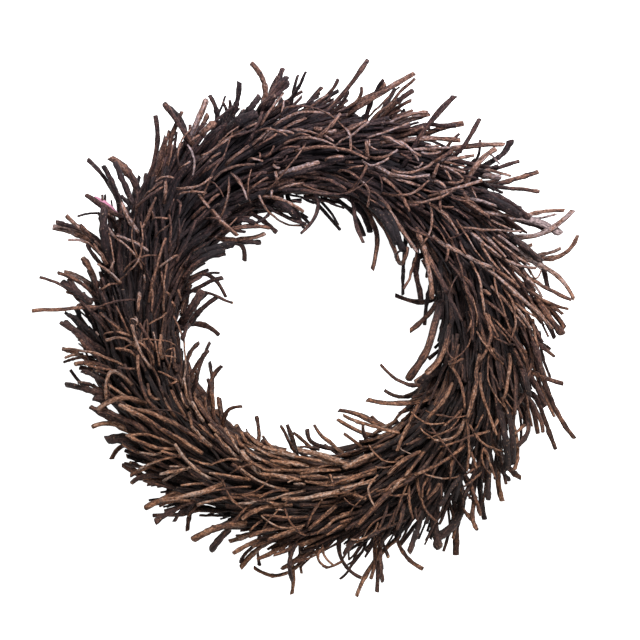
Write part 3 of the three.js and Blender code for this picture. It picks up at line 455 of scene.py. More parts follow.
    (280, 150, 288, 147.5, 299.5, 147, 3, 0.6), (283, 144.5, 309, 137.5, 335, 146, 3.5, 0.84),
    (282, 131, 294.5, 123, 306, 118, 3.5, 0.78), (280, 117.5, 282, 110.5, 284, 100, 2.5, 0.7),
    (293, 129.5, 306, 131, 318, 134.5, 3, 0.84), (296, 151, 334, 147.5, 367.5, 159, 4, 0.74),
    (300, 190, 317, 192.5, 338.5, 194.5, 3.5, 0.56), (296, 135.5, 302, 134, 311, 136.5, 2.5, 0.74),
    (302, 112, 316.5, 102.5, 327.5, 95, 3, 0.78),
]
# Twigs along the outer and inner edges, read in the same way; tone 2 is the one with a rosy side
edgeTwigs = [
    (101, 250, 78, 234, 53, 227, 6, 0.86), (79, 228.5, 68.4, 225.5, 56, 221.8, 3.6, 0.3),
    (80, 228, 72.2, 221.5, 66.3, 215.5, 4, 0.76), (106, 261, 95.5, 243.5, 80.3, 225.5, 4, 0.6),
    (95, 249.5, 83, 241.3, 68, 240, 2.4, 0.88), (96, 289, 90.5, 269, 82.8, 258, 4.5, 0.66),
    (92, 292.5, 76, 280, 58.5, 273, 4, 0.5), (95.5, 289.5, 79.5, 277.3, 64.3, 272, 4, 0.8),
    (78, 299.5, 59, 284, 39.5, 277.3, 2.6, 0.45), (88, 300, 75, 290.5, 61.6, 282, 5, 0.25),
    (85, 298, 74.5, 288, 69.3, 278, 4.6, 0.15), (190.5, 137.5, 200, 115.5, 206.3, 100.5, 5.2, 0.84),
    (198, 133.5, 203.8, 122.8, 208, 114.5, 4, 0.8), (226.3, 119, 226, 109.5, 222.6, 102.6, 3, 0.3),
    (229.5, 120, 230.3, 110, 229.8, 100.5, 3.4, 0.5), (228.5, 121, 236, 104, 239.2, 82, 4.2, 0.1),
    (231, 128, 243, 119, 256, 113.6, 8, 0.12), (243, 119.5, 251, 108.5, 259, 97, 5.5, 0.15),
    (202.5, 133.5, 208, 128, 214, 122.5, 5.5, 0.66), (264.2, 109.5, 275, 96.5, 287.2, 83, 5.6, 0.22),
    (79, 355, 71, 351.5, 62.3, 348.7, 4.4, 0.56), (80, 354.5, 72.3, 355.2, 65.6, 357.5, 2.8, 0.8),
    (76.5, 358.2, 70, 360, 63.6, 362.4, 2.5, 0.35), (91, 351.5, 85.5, 345.8, 80.8, 340, 3.5, 0.5),
    (107.5, 368.3, 89, 363, 75.5, 364, 4, 0.58), (97, 376, 86, 368.5, 79.8, 367.6, 4, 0.4),
    (101, 384, 91, 374.5, 82, 371, 4, 0.15), (104.5, 395.3, 84, 388.3, 66.6, 384.6, 5, 0.36),
    (104.3, 394, 92, 385.3, 78.4, 382.4, 3.5, 0.3), (110, 401, 102, 399, 94.3, 397.6, 6, 0.16),
    (142.5, 403, 117, 399, 98.5, 408.5, 4, 0.78), (114, 421, 101, 413, 90.4, 406.6, 5, 0.3),
    (120.3, 427, 106, 423.3, 92.4, 427, 4.6, 0.7), (146, 419.5, 132, 411.5, 119.5, 404.8, 4, 0.86),
    (242, 524, 215, 528.5, 193.2, 539.3, 5.6, 0.62), (227, 532, 219, 540, 211.7, 549.4, 6, 0.2),
    (275, 529, 250, 535.3, 229.2, 541.4, 4, 0.66), (283, 533.2, 255, 541.5, 233.3, 553.2, 4, 0.56),
    (274.5, 539, 254, 553, 240.8, 567.6, 4.6, 0.68), (247, 552, 243, 557, 240.6, 563, 3.5, 0.15),
    (257.8, 554, 258.7, 560, 259.6, 565.4, 3, 0.3), (298, 565.3, 275, 575.5, 254, 567.4, 3, 0.68),
    (304.5, 554.5, 294, 561.8, 283.8, 567.8, 5, 0.72), (294.5, 546.5, 290, 561, 292, 580, 3.4, 0.12),
    (295, 543, 285, 551, 273.9, 554.8, 2.8, 0.5), (189, 263, 208, 250, 233.5, 244.5, 6, 0.15),
    (186, 276, 203, 259.5, 224.7, 253.5, 5, 0.36), (190, 271, 205, 257.5, 224.5, 249.5, 5, 0.2),
    (184.6, 296, 203, 284.5, 222.6, 277.8, 4, 0.25), (187.8, 285.3, 194, 281, 200.5, 276.8, 2.8, 0.4),
    (184.6, 320, 193.5, 305.5, 202, 291, 7, 0.36), (189.7, 323, 202, 308.5, 216.3, 297.8, 5, 0.24),
    (190, 324, 204, 325, 218.7, 334.7, 4.8, 0.48), (188, 326, 184.5, 333, 182, 340, 4, 0.3),
    (220, 238.4, 243, 239.7, 264.7, 233.4, 4.4, 0.76), (234, 240.5, 247, 242, 260.5, 242.2, 3.6, 0.15),
    (214, 213, 226, 225.5, 237.3, 235.4, 4, 0.86), (225, 231.5, 247, 226.3, 269, 228, 3.5, 0.66),
    (236, 226, 247, 220.6, 255, 223.6, 4, 0.2), (251.6, 213.3, 264, 221.3, 276.6, 232.4, 3.5, 0.36),
    (269, 213.2, 262, 219.6, 255.2, 223.6, 2.6, 0.35), (276, 204, 287, 207.8, 297.3, 216.8, 8, 0.06),
    (297.5, 217.5, 301, 222.5, 303.4, 227.6, 3.5, 0.1), (247.5, 195.6, 276, 198.3, 303.3, 211.6, 3.6, 0.8),
    (293, 201.3, 297, 201.8, 301.2, 202.6, 2, 0.2), (271.8, 191.5, 271.5, 194, 271.2, 197, 2, 0.95),
    (367, 206.5, 384.5, 228.5, 398, 261, 4.5, 0.88), (353.5, 195.5, 375, 228, 372.3, 269.5, 3.8, 0.62),
    (415, 268.5, 418, 282, 421, 299.3, 5.4, 0.36), (413.6, 265.3, 410, 276, 403.8, 288.6, 3, 0.64),
    (419, 235.5, 428, 262.5, 431.8, 299, 4, 0.82), (422.5, 248.8, 436, 270.5, 447, 292, 5, 0.62),
    (404, 259.3, 402.8, 278, 402.9, 294.6, 3.2, 0.12), (398, 259.5, 405, 257.5, 407.6, 247.4, 3.6, 0.7),
    (440, 305, 427.5, 345.5, 408.2, 378.8, 6, 0.52), (449, 328.7, 440, 358.5, 415, 382, 3.5, 0.8),
    (434.6, 372.8, 426, 377, 418.8, 382.8, 6, 0.06), (449.3, 362, 456.5, 362.2, 463, 358.5, 2, 0.74),
    (395, 432, 368, 425, 343.5, 415.3, 3.6, 0.6), (321.5, 549, 318.6, 560, 325, 566.6, 2.2, 0.5),
    (325, 566.5, 334, 565.5, 343.5, 560.6, 2.6, 0.55), (323.4, 550, 326.5, 559, 333, 564.8, 2, 0.6),
    (338.7, 547.2, 345, 565.5, 361.5, 577.8, 4, 0.25), (353, 542.5, 348, 548.5, 343.6, 554.8, 4, 0.15),
    (396, 539.5, 370, 568, 356.5, 596, 4.4, 0.72),
    (444, 533, 438, 539, 439, 548, 7, 0.18),
   
    (452, 148.6, 478, 145.4, 504, 144.7, 4.4, 0.78), (496.5, 158.5, 504.5, 152, 510.8, 140.6, 5, 0.16),
    (467.5, 181.3, 476, 166, 495, 149.5, 4.6, 0.8), (491, 155, 495.6, 159.4, 499.6, 163.8, 1.9, 1),
    (482.7, 170, 497, 172, 510.3, 176, 2.8, 0.84), (484.8, 176, 492.5, 176.6, 500.3, 177.6, 5, 1),
    (432, 196, 458, 187.8, 482, 180.5, 3.4, 0.84), (440.5, 161, 458, 157.9, 474, 155.4, 3.2, 0.78),
    (485, 191.8, 508.5, 201.8, 528, 217.2, 5, 0.3), (512, 220, 538, 212.6, 564.2, 210.6, 4, 0.74),
    (524, 219, 541, 223.5, 560.8, 233.8, 6.6, 1), (527, 217.8, 540, 221.8, 553, 227.2, 3.4, 1),
    (498, 234, 541, 233.5, 573.4, 210.3, 5, 0.84), (511.5, 237.5, 527, 249, 540.5, 261.3, 6, 0.08),
    (536.5, 263, 558.5, 277.5, 574, 299, 4, 0.8), (544.5, 272, 546.5, 281, 548, 289.5, 4, 0.22),
    (538, 300, 549, 317, 562.5, 333.5, 5, 0.5), (531, 340, 538, 356, 542.5, 374, 5, 0.3),
    (520, 365, 525.5, 380, 529, 395, 5, 0.3), (530, 376, 539, 391, 545, 406, 5, 0.5),
    (528, 396, 534.5, 416, 538, 433.5, 4.5, 0.5), (517, 440, 517.6, 455, 514, 470, 3.6, 0.8),
    (501.5, 456.5, 509, 468, 521, 477.8, 4.4, 0.6), (499, 465, 503.5, 473, 508.8, 479.4, 4, 0.12),
    (498, 466.5, 498.6, 486, 502.3, 501, 4.4, 0.76), (489, 485, 488.6, 492, 488.2, 499.4, 4.6, 0.12),
    (479.9, 480.6, 481, 501, 484.8, 519.3, 5, 0.05), (470.8, 484.8, 475.5, 498.5, 480.6, 515, 3.2, 0.76),
    (473.3, 508, 472.8, 519, 476.6, 529.2, 4, 0.62), (462.6, 508, 468, 515.5, 474, 522.8, 3, 0.7),
    (436, 506, 435, 525, 439.6, 547, 6, 0.3), (114.3, 213.2, 104.5, 205.2, 94.5, 200, 3, 0.35),
    (114.5, 211.2, 105, 202.8, 95, 198, 2.6, 2),
    (100, 307.5, 62, 308.5, 32, 311, 3.8, 0.66), (143.5, 192, 156.5, 150, 155.5, 115.5, 4.6, 0.42),
    (186, 141, 181, 121, 167, 107, 5.6, 0.1), (140, 203, 128, 172, 110.5, 157.5, 6.4, 0.6),
    (131, 200, 122, 178, 115, 163, 5, 0.15), (123, 217, 114, 187, 103.5, 166, 4.4, 0.2),
    (116, 197, 103, 176, 88, 160, 3.8, 0.3), (262, 108, 264, 82, 251.5, 63, 4.6, 0.64),
    (262, 110, 275, 88, 282.5, 69.5, 5.5, 0.35), (215, 128, 216, 109, 209.5, 95.5, 4, 0.25),
    (330, 128, 383, 91.5, 414.4, 73.5, 4.4, 0.6), (380, 120, 396, 103, 413, 90.5, 5, 0.45),
    (369, 129, 387, 103, 395, 88.5, 5, 0.15), (326, 114, 350, 84.5, 367.5, 60.5, 5, 0.45),
    (404, 165, 431, 122, 454.5, 96, 4.6, 0.35), (412, 143, 440, 128.5, 463.5, 123.5, 4.8, 0.62),
    (432, 176, 461.5, 147.5, 479.5, 119, 4, 0.45), (505, 182, 522, 177, 538.5, 171.8, 4, 0.6),
    (490, 185.5, 514, 188.5, 539, 191.5, 4, 0.5), (540, 258.5, 567, 251.5, 577.5, 235.5, 4, 0.7),
    (385, 131, 405, 121.5, 429, 114.5, 4.5, 0.65), (93, 352, 79, 335.5, 65.5, 322.5, 5.5, 0.35),
    (88, 331, 78, 321, 68.5, 314.5, 4.5, 0.15), (150, 443, 128, 439.5, 106.5, 440, 8.5, 0.12),
    (140, 446, 119, 448, 111.5, 459, 4, 0.55), (150, 474, 141, 467, 130.5, 462.5, 3.5, 0.2),
    (165, 461, 147, 466.5, 130.5, 475.5, 4, 0.4), (200, 486, 170, 496, 145.5, 508, 5, 0.62),
    (190, 502, 172, 510.5, 155, 522, 4.2, 0.35), (193, 502, 184, 508.5, 174, 521.5, 3.6, 0.2),
    (197, 500, 189.5, 515, 187.5, 530.5, 4.5, 0.5), (291, 560, 293.5, 578, 292, 594, 3.6, 0.6),
    (185, 368, 189.5, 354, 199, 343, 4, 0.35), (191, 376, 199, 362, 208, 351, 4, 0.3),
    (211, 402, 212, 380, 209.5, 362, 3.6, 0.25), (209, 393, 212.5, 378, 221.5, 366, 4, 0.4),
    (224, 420, 229, 410, 241.5, 406.5, 3.6, 0.55), (546, 386, 560, 417.5, 574.3, 438, 4.4, 0.5),
    (540, 405, 547.5, 427, 555.5, 449, 4.2, 0.35), (455, 508, 456, 535, 456, 555, 5, 0.5),
    (452, 522, 449, 533, 443.5, 551, 3.4, 0.4), (396, 535, 405, 555, 423, 569, 4, 0.62),
    (420, 520, 415.5, 536, 409, 552.5, 5, 0.4), (498, 408, 505, 437, 508, 468, 6, 0.1),
    (506, 406, 511.5, 432, 512.5, 464, 5, 0.15), (513, 410, 511, 442, 503, 474, 4.5, 0.2),
    (380, 205, 393, 226, 403, 250, 7, 0.05), (371, 206, 385, 221, 397, 243, 6, 0.05),
    (350, 198, 362, 212, 370, 232, 6, 0.1), (480, 196, 500, 203.5, 520, 216, 7, 0.12),
    (533, 218.5, 545, 217, 556, 214, 2.2, 0.9), (109, 258, 104, 235, 104, 208, 8, 0.12),
]
# tones and paleClock give painted light and shade by clock: paler and greyer towards clock 80, darker opposite
strayLook = {"thicker": 1.28, "follow": 3.2, "stations": 24, "tones": (0.7, 1.0), "paleClock": 80, "paler": 0.1}
faceLook = {
    "domeHeight": 49, "domeWidth": 64, "leastFall": 0.04, "rootSink": 5, "midRise": 4, "tipRise": 4,
    "scatter": (-2, 3), "level": 0.55, "slimmer": 0.86,
}
edgeLook = {"lift": 7, "thicker": 1.12, "taper": 0.96, "lead": 3, "leadSink": 2, "leadStations": 8}
# stations along a twig of each kind, sides of its rings, and how far it sways from its curve
laying = {
    "strays": (18, 10, 0.9), "company": (14, 7, 1.0), "fills": (14, 8, 1.0), "face": (18, 10, 0.7),
    "tendrils": (16, 6, 0.7), "top": (14, 7, 1.5), "outer": (14, 7, 1.5), "inner": (14, 7, 1.5),
    "rim": (14, 7, 1.5), "deep": (9, 6, 1.9), "edge": (18, 10, 0.5),
}


def domeHeight(out):
    # an elliptical cross-section over the hoop's line: height sqrt(1 - (out / width)^2)
    fall = np.clip(1 - (out / faceLook["domeWidth"]) ** 2, faceLook["leastFall"], 1)
    return wreath["middle"] + faceLook["domeHeight"] * np.sqrt(fall)


def faceBundle(readings, lifted, slimmer, strays=None):
    # readings laid on the dome of the ring; one that follows a twig of the solids takes its heights,
    # bunch and root
    rows = np.array(readings, float)
    points = []
    rises = (-faceLook["rootSink"], faceLook["midRise"] + lifted, faceLook["tipRise"] + lifted)
    for column, rise in zip((0, 2, 4), rises):
        flat = photoPoint(rows[:, column], rows[:, column + 1], 0.0)
        flat[:, 2] = domeHeight(ringPlace(flat)[1]) + rise + rng.uniform(*faceLook["scatter"], len(rows))
        points.append(flat)
    points[2][:, 2] = mix(points[2][:, 2], points[1][:, 2], faceLook["level"])
    bunch = (ringPlace(points[0])[0] // sector).astype(int) % wreath["bunches"]
    if strays:
        followed, nearest = followedStrays(points[2], strays)
        path = bowPath(strays["root"], strays["control"], strays["tip"], strayLook["stations"])
        path = sightPoint(path, -1)[nearest]
        for flat in points:
            closest = np.linalg.norm(path[..., :2] - flat[:, None, :2], axis=-1).argmin(axis=1)
            flat[followed, 2] = path[np.arange(len(rows)), closest, 2][followed]
        bunch[followed] = strays["bunch"][nearest][followed]
    root, via, tip = (sightPoint(flat, 1) for flat in points)
    anchor = root + unit(root - via) * edgeLook["lead"] - (0, 0, edgeLook["leadSink"])
    if strays:
        anchor[followed] = strays["root"][nearest][followed]
    return {
        "bunch": bunch, "root": root, "control": bowControl(root, via, tip), "tip": tip, "anchor": anchor,
        "radius": rows[:, 6] * photo["mmPerPixel"] / 2 * slimmer, "tone": rows[:, 7],
    }


def leadIn(path, anchor):
    # a run from the anchor, inside the bunch, which meets the start of the path in the path's direction
    start = path[:, 0]
    run = np.linalg.norm(anchor - start, axis=-1, keepdims=True)
    control = start + unit(start - path[:, 1]) * run / 2
    lead = bowPath(anchor, control, start, edgeLook["leadStations"])[:, :-1]
    return np.concatenate((lead, path), 1)


def followedStrays(tips, strays):
    # which readings end where a twig of the solids ends, as the camera sees them, and which twig is nearest
    seen = sightPoint(strays["tip"], -1)
    apart = np.linalg.norm(tips[:, None, :2] - seen[None, :, :2], axis=-1)
    return apart.min(axis=1) < strayLook["follow"], apart.argmin(axis=1)


# The rest of each bunch: sprays of finer twigs that start together and fan a little. A twig runs
# nearly straight while the ring turns away from under it, so it crosses the body outwards.
spray = {
    "top": {
        "sprays": 11, "twigs": 6, "leans": (30, 135), "depths": (20, 30), "splays": (4, 26), "lengths": (50, 110),
        "follow": (0.0, 0.5), "radii": (0.95, 2.1), "tone": -0.1,
    },
    "outer": {
        "sprays": 6, "twigs": 5, "leans": (-30, 45), "depths": (14, 26), "splays": (14, 48), "lengths": (50, 105),
        "follow": (-0.2, 0.4), "radii": (1.0, 2.3), "tone": -0.08,
    },
    "inner": {
        "sprays": 3, "twigs": 5, "leans": (120, 205), "depths": (12, 26), "splays": (4, 42), "lengths": (40, 80),
        "follow": (0.9, 1.5), "radii": (0.95, 2.1), "tone": -0.12,
    },
    "rim": {
        "sprays": 4, "twigs": 5, "leans": (112, 155), "depths": (34, 41), "splays": (-3, 8), "lengths": (45, 85),
        "follow": (1.0, 1.25), "radii": (1.2, 2.4), "tone": 0.0,
    },
    # painted shade: the deep sprays' tone is lowered, so twigs deep in the ring are darker
    "deep": {
        "sprays": 12, "twigs": 4, "leans": (-35, 215), "depths": (14, 24), "splays": (2, 16), "lengths": (50, 90),
        "follow": (0.6, 1.1), "radii": (1.4, 2.6), "tone": -0.3,
    },
}
sprayFan = {
    "lean": 9, "clock": 2.6, "splay": 5, "length": 0.14, "follow": 0.15, "radiusPower": 1.4, "bow": 0.07,
    "bowAxes": (1, 1, 0.5), "climb": 0.3, "tone": 0.1,
}
sprayReach = {
    "out": (22, 62), "outPower": 1.3, "in": (24, 44), "highest": 66, "shorter": 0.93, "rounds": 14, "shortest": 28,
}

# Gaps where the floor shows, set from looks at the photograph, and some from places where a
# render had twigs and the photograph didn't: pixel and half width in pixels
gaps = [
    (213, 514, 13), (203, 516, 9), (222, 513, 9), (227, 548, 8), (222, 556, 8), (128, 456, 8), (137, 462, 6),
    (93, 417, 6), (100, 435, 6), (92, 381, 6), (191, 345, 7), (188, 357, 6), (262, 430, 6), (272, 445, 6),
    (243, 103, 8), (141, 167, 9), (120, 190, 6), (88, 222, 6), (94, 232, 5), (209, 265, 7), (192, 281, 5),
    (366, 111, 11), (535, 242, 8), (524, 239, 5), (450, 133, 6), (465, 136, 5), (526, 440, 5), (522, 457, 6),
    (431, 350, 5), (430, 362, 4), (340, 443, 7), (355, 443, 6), (327, 440, 6), (236, 534, 6), (246, 549, 6),
    (275, 565, 6), (299, 550, 5), (114, 432, 7), (157, 492, 6), (90, 378, 7), (203, 388, 5), (265, 430, 7),
    (75, 302, 5), (84, 291, 5), (138, 174, 7), (150, 147, 7), (182, 139, 6), (250, 108, 8), (277, 92, 6),
    (361, 108, 8), (378, 107, 6), (442, 137, 7), (465, 153, 6), (427, 284, 6), (425, 308, 5), (540, 287, 7),
    (422, 357, 7), (404, 415, 7), (370, 412, 5), (366, 583, 5), (410, 545, 7), (526, 451, 8), (206, 527, 8),
    (103, 453, 5), (121, 461, 5),
]


def overGap(points):
    # whether a point lies in one of the gaps
    over = np.zeros(len(points), bool)
    for x, y, width in gaps:
        apart = points[:, :2] - photoPoint(x, y, 0.0)[:2]
        over |= (apart**2).sum(-1) < (width * photo["mmPerPixel"]) ** 2
    return over


# points along a twig at which a gap is looked for, and the share of it that is left as it is
drawing = {"stations": 30, "start": 0.6, "companyStart": 0.7}


def drawnIn(twigs, start=drawing["start"]):
    # a twig ends where its last part, as seen, first comes over the bare floor of the photograph
    stations = drawing["stations"]
    path = sightPoint(bowPath(twigs["root"], twigs["control"], twigs["tip"], stations), -1)
    over = overGap(path.reshape(-1, 3)).reshape(path.shape[:2])
    over[:, : int(stations * start)] = False
    share = np.where(over.any(1), over.argmax(1) / (stations - 1), 1.0)[:, None]
    control = mix(twigs["root"], twigs["control"], share)
    tip = mix(control, mix(twigs["control"], twigs["tip"], share), share)
    return {**twigs, "control": control, "tip": tip}


def sprayBundle(kind):
    # twig = quadratic curve whose first half leaves the ring's tangent by the splay, towards the lean,
    # and whose second half has turned with the ring by the share "follow"
    rule = spray[kind]
    sprays = wreath["bunches"] * rule["sprays"]
    pick = rng.random((6, sprays))
    order = np.tile(np.arange(rule["sprays"]), wreath["bunches"])
    each = np.repeat(np.arange(sprays), rule["twigs"])
    count = each.size
    bell = rng.normal(0, 1, (5, count))
    bunch = each // rule["sprays"]
    lean = mix(*rule["leans"], (order + pick[0]) / rule["sprays"])[each] + sprayFan["lean"] * bell[0]
    clock = (bunch + pick[1][each]) * sector + sprayFan["clock"] * bell[1]
    splay = mix(*rule["splays"], pick[2])[each] + sprayFan["splay"] * bell[2]
    length = mix(*rule["lengths"], pick[3])[each] * (1 + sprayFan["length"] * bell[3])
    follow = mix(*rule["follow"], pick[4])[each] + sprayFan["follow"] * bell[4]
    radius = mix(*rule["radii"], rng.random(count) ** sprayFan["radiusPower"])
    lean, splay, angle = np.radians(lean), np.radians(splay), np.radians(clock)
    lowest = radius + ground["clearance"]
    root = leanPoint(clock, lean, mix(*rule["depths"], rng.random(count)), lowest)
    outward = np.stack((np.sin(angle), np.cos(angle), 0 * angle), -1)
    tangent = np.stack((np.cos(angle), -np.sin(angle), 0 * angle), -1)
    lift = np.array((0.0, 0.0, 1.0))
    away = outward * np.cos(lean)[:, None] + lift * np.sin(lean)[:, None]
    first = tangent * np.cos(splay)[:, None] + away * np.sin(splay)[:, None]
    bow = rng.normal(0, sprayFan["bow"], (count, 3)) * sprayFan["bowAxes"]
    outLimit = mix(*sprayReach["out"], rng.random(count) ** sprayReach["outPower"])
    inLimit = -mix(*sprayReach["in"], rng.random(count))
    for _ in range(sprayReach["rounds"]):
        turn = follow * length / wreath["radius"]
        cosine, sine = np.cos(turn), np.sin(turn)
        east, north, up = first.T
        second = (east * cosine + north * sine, north * cosine - east * sine, up * sprayFan["climb"])
        second = np.stack(second, -1)
        middle = root + (first + bow) * length[:, None] / 2
        tip = middle + (second - bow) * length[:, None] / 2
        out = ringPlace(tip)[1]
        far = (out > outLimit) | (out < inLimit) | (tip[:, 2] > sprayReach["highest"])
        quarters = bowPath(root, middle, tip, 5)
        far |= overGap(tip) | overGap(quarters[:, 3])
        length = np.where(far & (length > sprayReach["shortest"]), length * sprayReach["shorter"], length)
    tip[:, 2] = np.maximum(tip[:, 2], lowest)
    tone = barkTones(count) + rule["tone"] + sprayFan["tone"] * rng.normal(0, 1, sprays)[each]
    return {
        "bunch": bunch, "root": root, "control": middle, "tip": tip, "radius": radius, "tone": np.clip(tone, 0, 1),
    }


# Shorter twigs that lie beside the outer ones of the solids, so that they stand in tufts
company = {
    "ends": (0.4, 0.85), "rootSpread": 4.0, "tipSpread": 3.4, "sizes": (0.7, 1.0), "thinnest": 0.9,
    "toneSpread": 0.12,
}


def companyBundle(strays):
    # the stray's own curve cut off at a share of its length, with its three points moved a little
    each = np.flatnonzero(ringPlace(strays["tip"])[1] > 0)
    count = each.size
    share = mix(*company["ends"], rng.random((count, 1)))
    root, control, tip = strays["root"][each], strays["control"][each], strays["tip"][each]
    middle = root + (control - root) * share
    beyond = control + (tip - control) * share
    end = middle + (beyond - middle) * share
    apart = rng.normal(0, 1, (3, count, 3))
    radius = strays["radius"][each] * mix(*company["sizes"], rng.random(count))
    end = end + apart[2] * company["tipSpread"]
    tone = strays["tone"][each] + rng.normal(0, company["toneSpread"], count)
    twigs = {
        "bunch": strays["bunch"][each], "root": root + apart[0] * company["rootSpread"],
        "control": middle + apart[1] * company["tipSpread"], "tip": end,
        "radius": np.maximum(radius, company["thinnest"]), "tone": np.clip(tone, 0, 1),
    }
    return {key: values[~overGap(end)] for key, values in twigs.items()}


# Thin orange-brown tendrils that arc across the others on the face of the ring
tendril = {
    "count": 48, "outs": (-36, 36), "lengths": (26, 60), "bow": 0.2, "radii": (0.65, 1.1), "turn": 38,
    "heading": 20, "eastShare": 0.7, "east": (-20, 200), "west": (200, 340), "rises": (-5, 6, 1), "scatter": (-1, 2),
    "tones": (0.55, 0.8), "reach": (-38, 46),
}


def tendrilBundle():
    # two ends a length apart at an angle to the ring's flow, and a middle pushed out to one side of
    # the chord by a share of the length
    count = tendril["count"]
    pick = rng.random((6, count))
    eastern = pick[5] < tendril["eastShare"]
    clock = np.where(eastern, mix(*tendril["east"], pick[0]), mix(*tendril["west"], pick[0]))
    start = ringPoint(clock, mix(*tendril["outs"], pick[1]), 0.0)
    angle = np.radians(tendril["heading"] - clock + rng.normal(0, tendril["turn"], count))
    length = mix(*tendril["lengths"], pick[2])[:, None]
    along = np.stack((np.cos(angle), np.sin(angle), 0 * angle), -1)
    across = np.stack((-along[:, 1], along[:, 0], 0 * angle), -1)
    bow = length * tendril["bow"] * rng.uniform(-1, 1, (count, 1))
    points = [start, start + along * length / 2 + across * bow, start + along * length]
    for point, rise in zip(points, tendril["rises"]):
        point[:, 2] = domeHeight(ringPlace(point)[1]) + rise + rng.uniform(*tendril["scatter"], count)
    root, via, tip = points
    twigs = {
        "bunch": (ringPlace(root)[0] // sector).astype(int) % wreath["bunches"], "root": root,
        "control": bowControl(root, via, tip), "tip": tip, "radius": mix(*tendril["radii"], pick[3]),
        "tone": mix(*tendril["tones"], pick[4]),
    }
    out, (nearest, farthest) = ringPlace(tip)[1], tendril["reach"]
    return {key: values[(out > nearest) & (out < farthest)] for key, values in twigs.items()}


toneRule = {"darkShare": 0.36, "dark": (0.0, 0.3), "brown": (0.35, 0.6)}


def barkTones(count):
    # near black for a share of the twigs, and brown for the rest
    brown = rng.random(count) > toneRule["darkShare"]
    low, high = np.where(brown[:, None], toneRule["brown"], toneRule["dark"]).T
    return mix(low, high, rng.random(count))


# The stems under the tie, which fill the core of a bunch down to its flat foot
stemPack = {
    "stems": 44, "halfWidth": 28.5, "halfHeight": 22.5, "radius": (2.3, 3.2), "taper": 0.8, "stations": 12,
    "sides": 6, "starts": (-0.16, 0.06), "ends": (0.98, 1.24), "goldenAngle": 2.39996, "weave": 0.25, "waves": 3,
    "clearance": 0.15, "toneShare": 0.5,
    "girthShares": (-0.2, 0.0, 0.333, 0.667, 1.0, 1.3), "girths": (0.8, 0.82, 0.74, 0.92, 1.0, 0.78),
}


def stemPaths():
    # stems on a sunflower spiral across an oval, which narrows at the tie and is pressed flat below
    count = stemPack["stems"]
    place = np.tile(np.arange(count), wreath["bunches"])
    bunch = np.repeat(np.arange(wreath["bunches"]), count)
    spread = np.sqrt((place + 0.5) / count)
    turn = place * stemPack["goldenAngle"] + bunch
    start = rng.uniform(*stemPack["starts"], bunch.size)
    end = rng.uniform(*stemPack["ends"], bunch.size)
    t = np.linspace(0, 1, stemPack["stations"])[None]
    share = mix(start[:, None], end[:, None], t)
    girth = np.interp(share, stemPack["girthShares"], stemPack["girths"]) * spread[:, None]
    radius = mix(*stemPack["radius"], rng.random(bunch.size))
    angle = turn[:, None] + stemPack["weave"] * np.sin(stemPack["waves"] * share + bunch[:, None])
    out = stemPack["halfWidth"] * girth * np.cos(angle)
    height = wreath["middle"] + stemPack["halfHeight"] * girth * np.sin(angle)
    height = np.maximum(height, radius[:, None] + stemPack["clearance"])
    path = ringPoint((bunch[:, None] + share) * sector, out, height)
    thick = radius[:, None] * mix(1.0, stemPack["taper"], t)
    return bunch, path, thick, barkTones(bunch.size) * stemPack["toneShare"]


# waves along a twig with their share of the sway; twigs shorter than the full length sway less
swaying = {
    "waves": ((1.0, 1.0), (2.3, 0.5), (4.6, 0.22)), "holdPower": 0.8, "lift": 0.4, "liftWaves": 1.6,
    "fullLength": 70, "least": 0.12,
}


def swayPaths(path, size, thickest):
    # three sine waves sideways, none at the root or the tip, so each twig keeps its two ends
    count, stations, _ = path.shape
    t = np.linspace(0, 1, stations)[None, :, None]
    hold = np.sin(np.pi * t) ** swaying["holdPower"]
    side = unit(np.cross(np.gradient(path, axis=1), (0.0, 0.0, 1.0)))
    shift = np.zeros((count, stations, 1))
    for waves, share in swaying["waves"]:
        phase = rng.uniform(0, 2 * np.pi, (count, 1, 1))
        amount = rng.normal(0, share, (count, 1, 1))
        shift = shift + amount * np.sin(2 * np.pi * waves * t + phase)
    lift = rng.normal(0, swaying["lift"], (count, 1, 1)) * np.sin(np.pi * swaying["liftWaves"] * t)
    length = np.linalg.norm(path[:, -1] - path[:, 0], axis=-1)[:, None, None]
    size = size * np.clip(length / swaying["fullLength"], swaying["least"], 1)
    moved = path + side * shift * hold * size
    moved[..., 2] += (lift * hold * size)[..., 0]
    return aboveGround(moved, thickest)


def aboveGround(path, radius):
    # no ridge of a twig may reach the floor
    path[..., 2] = np.maximum(path[..., 2], radius[:, None] * ground["ridges"] + ground["clearance"])
    return path
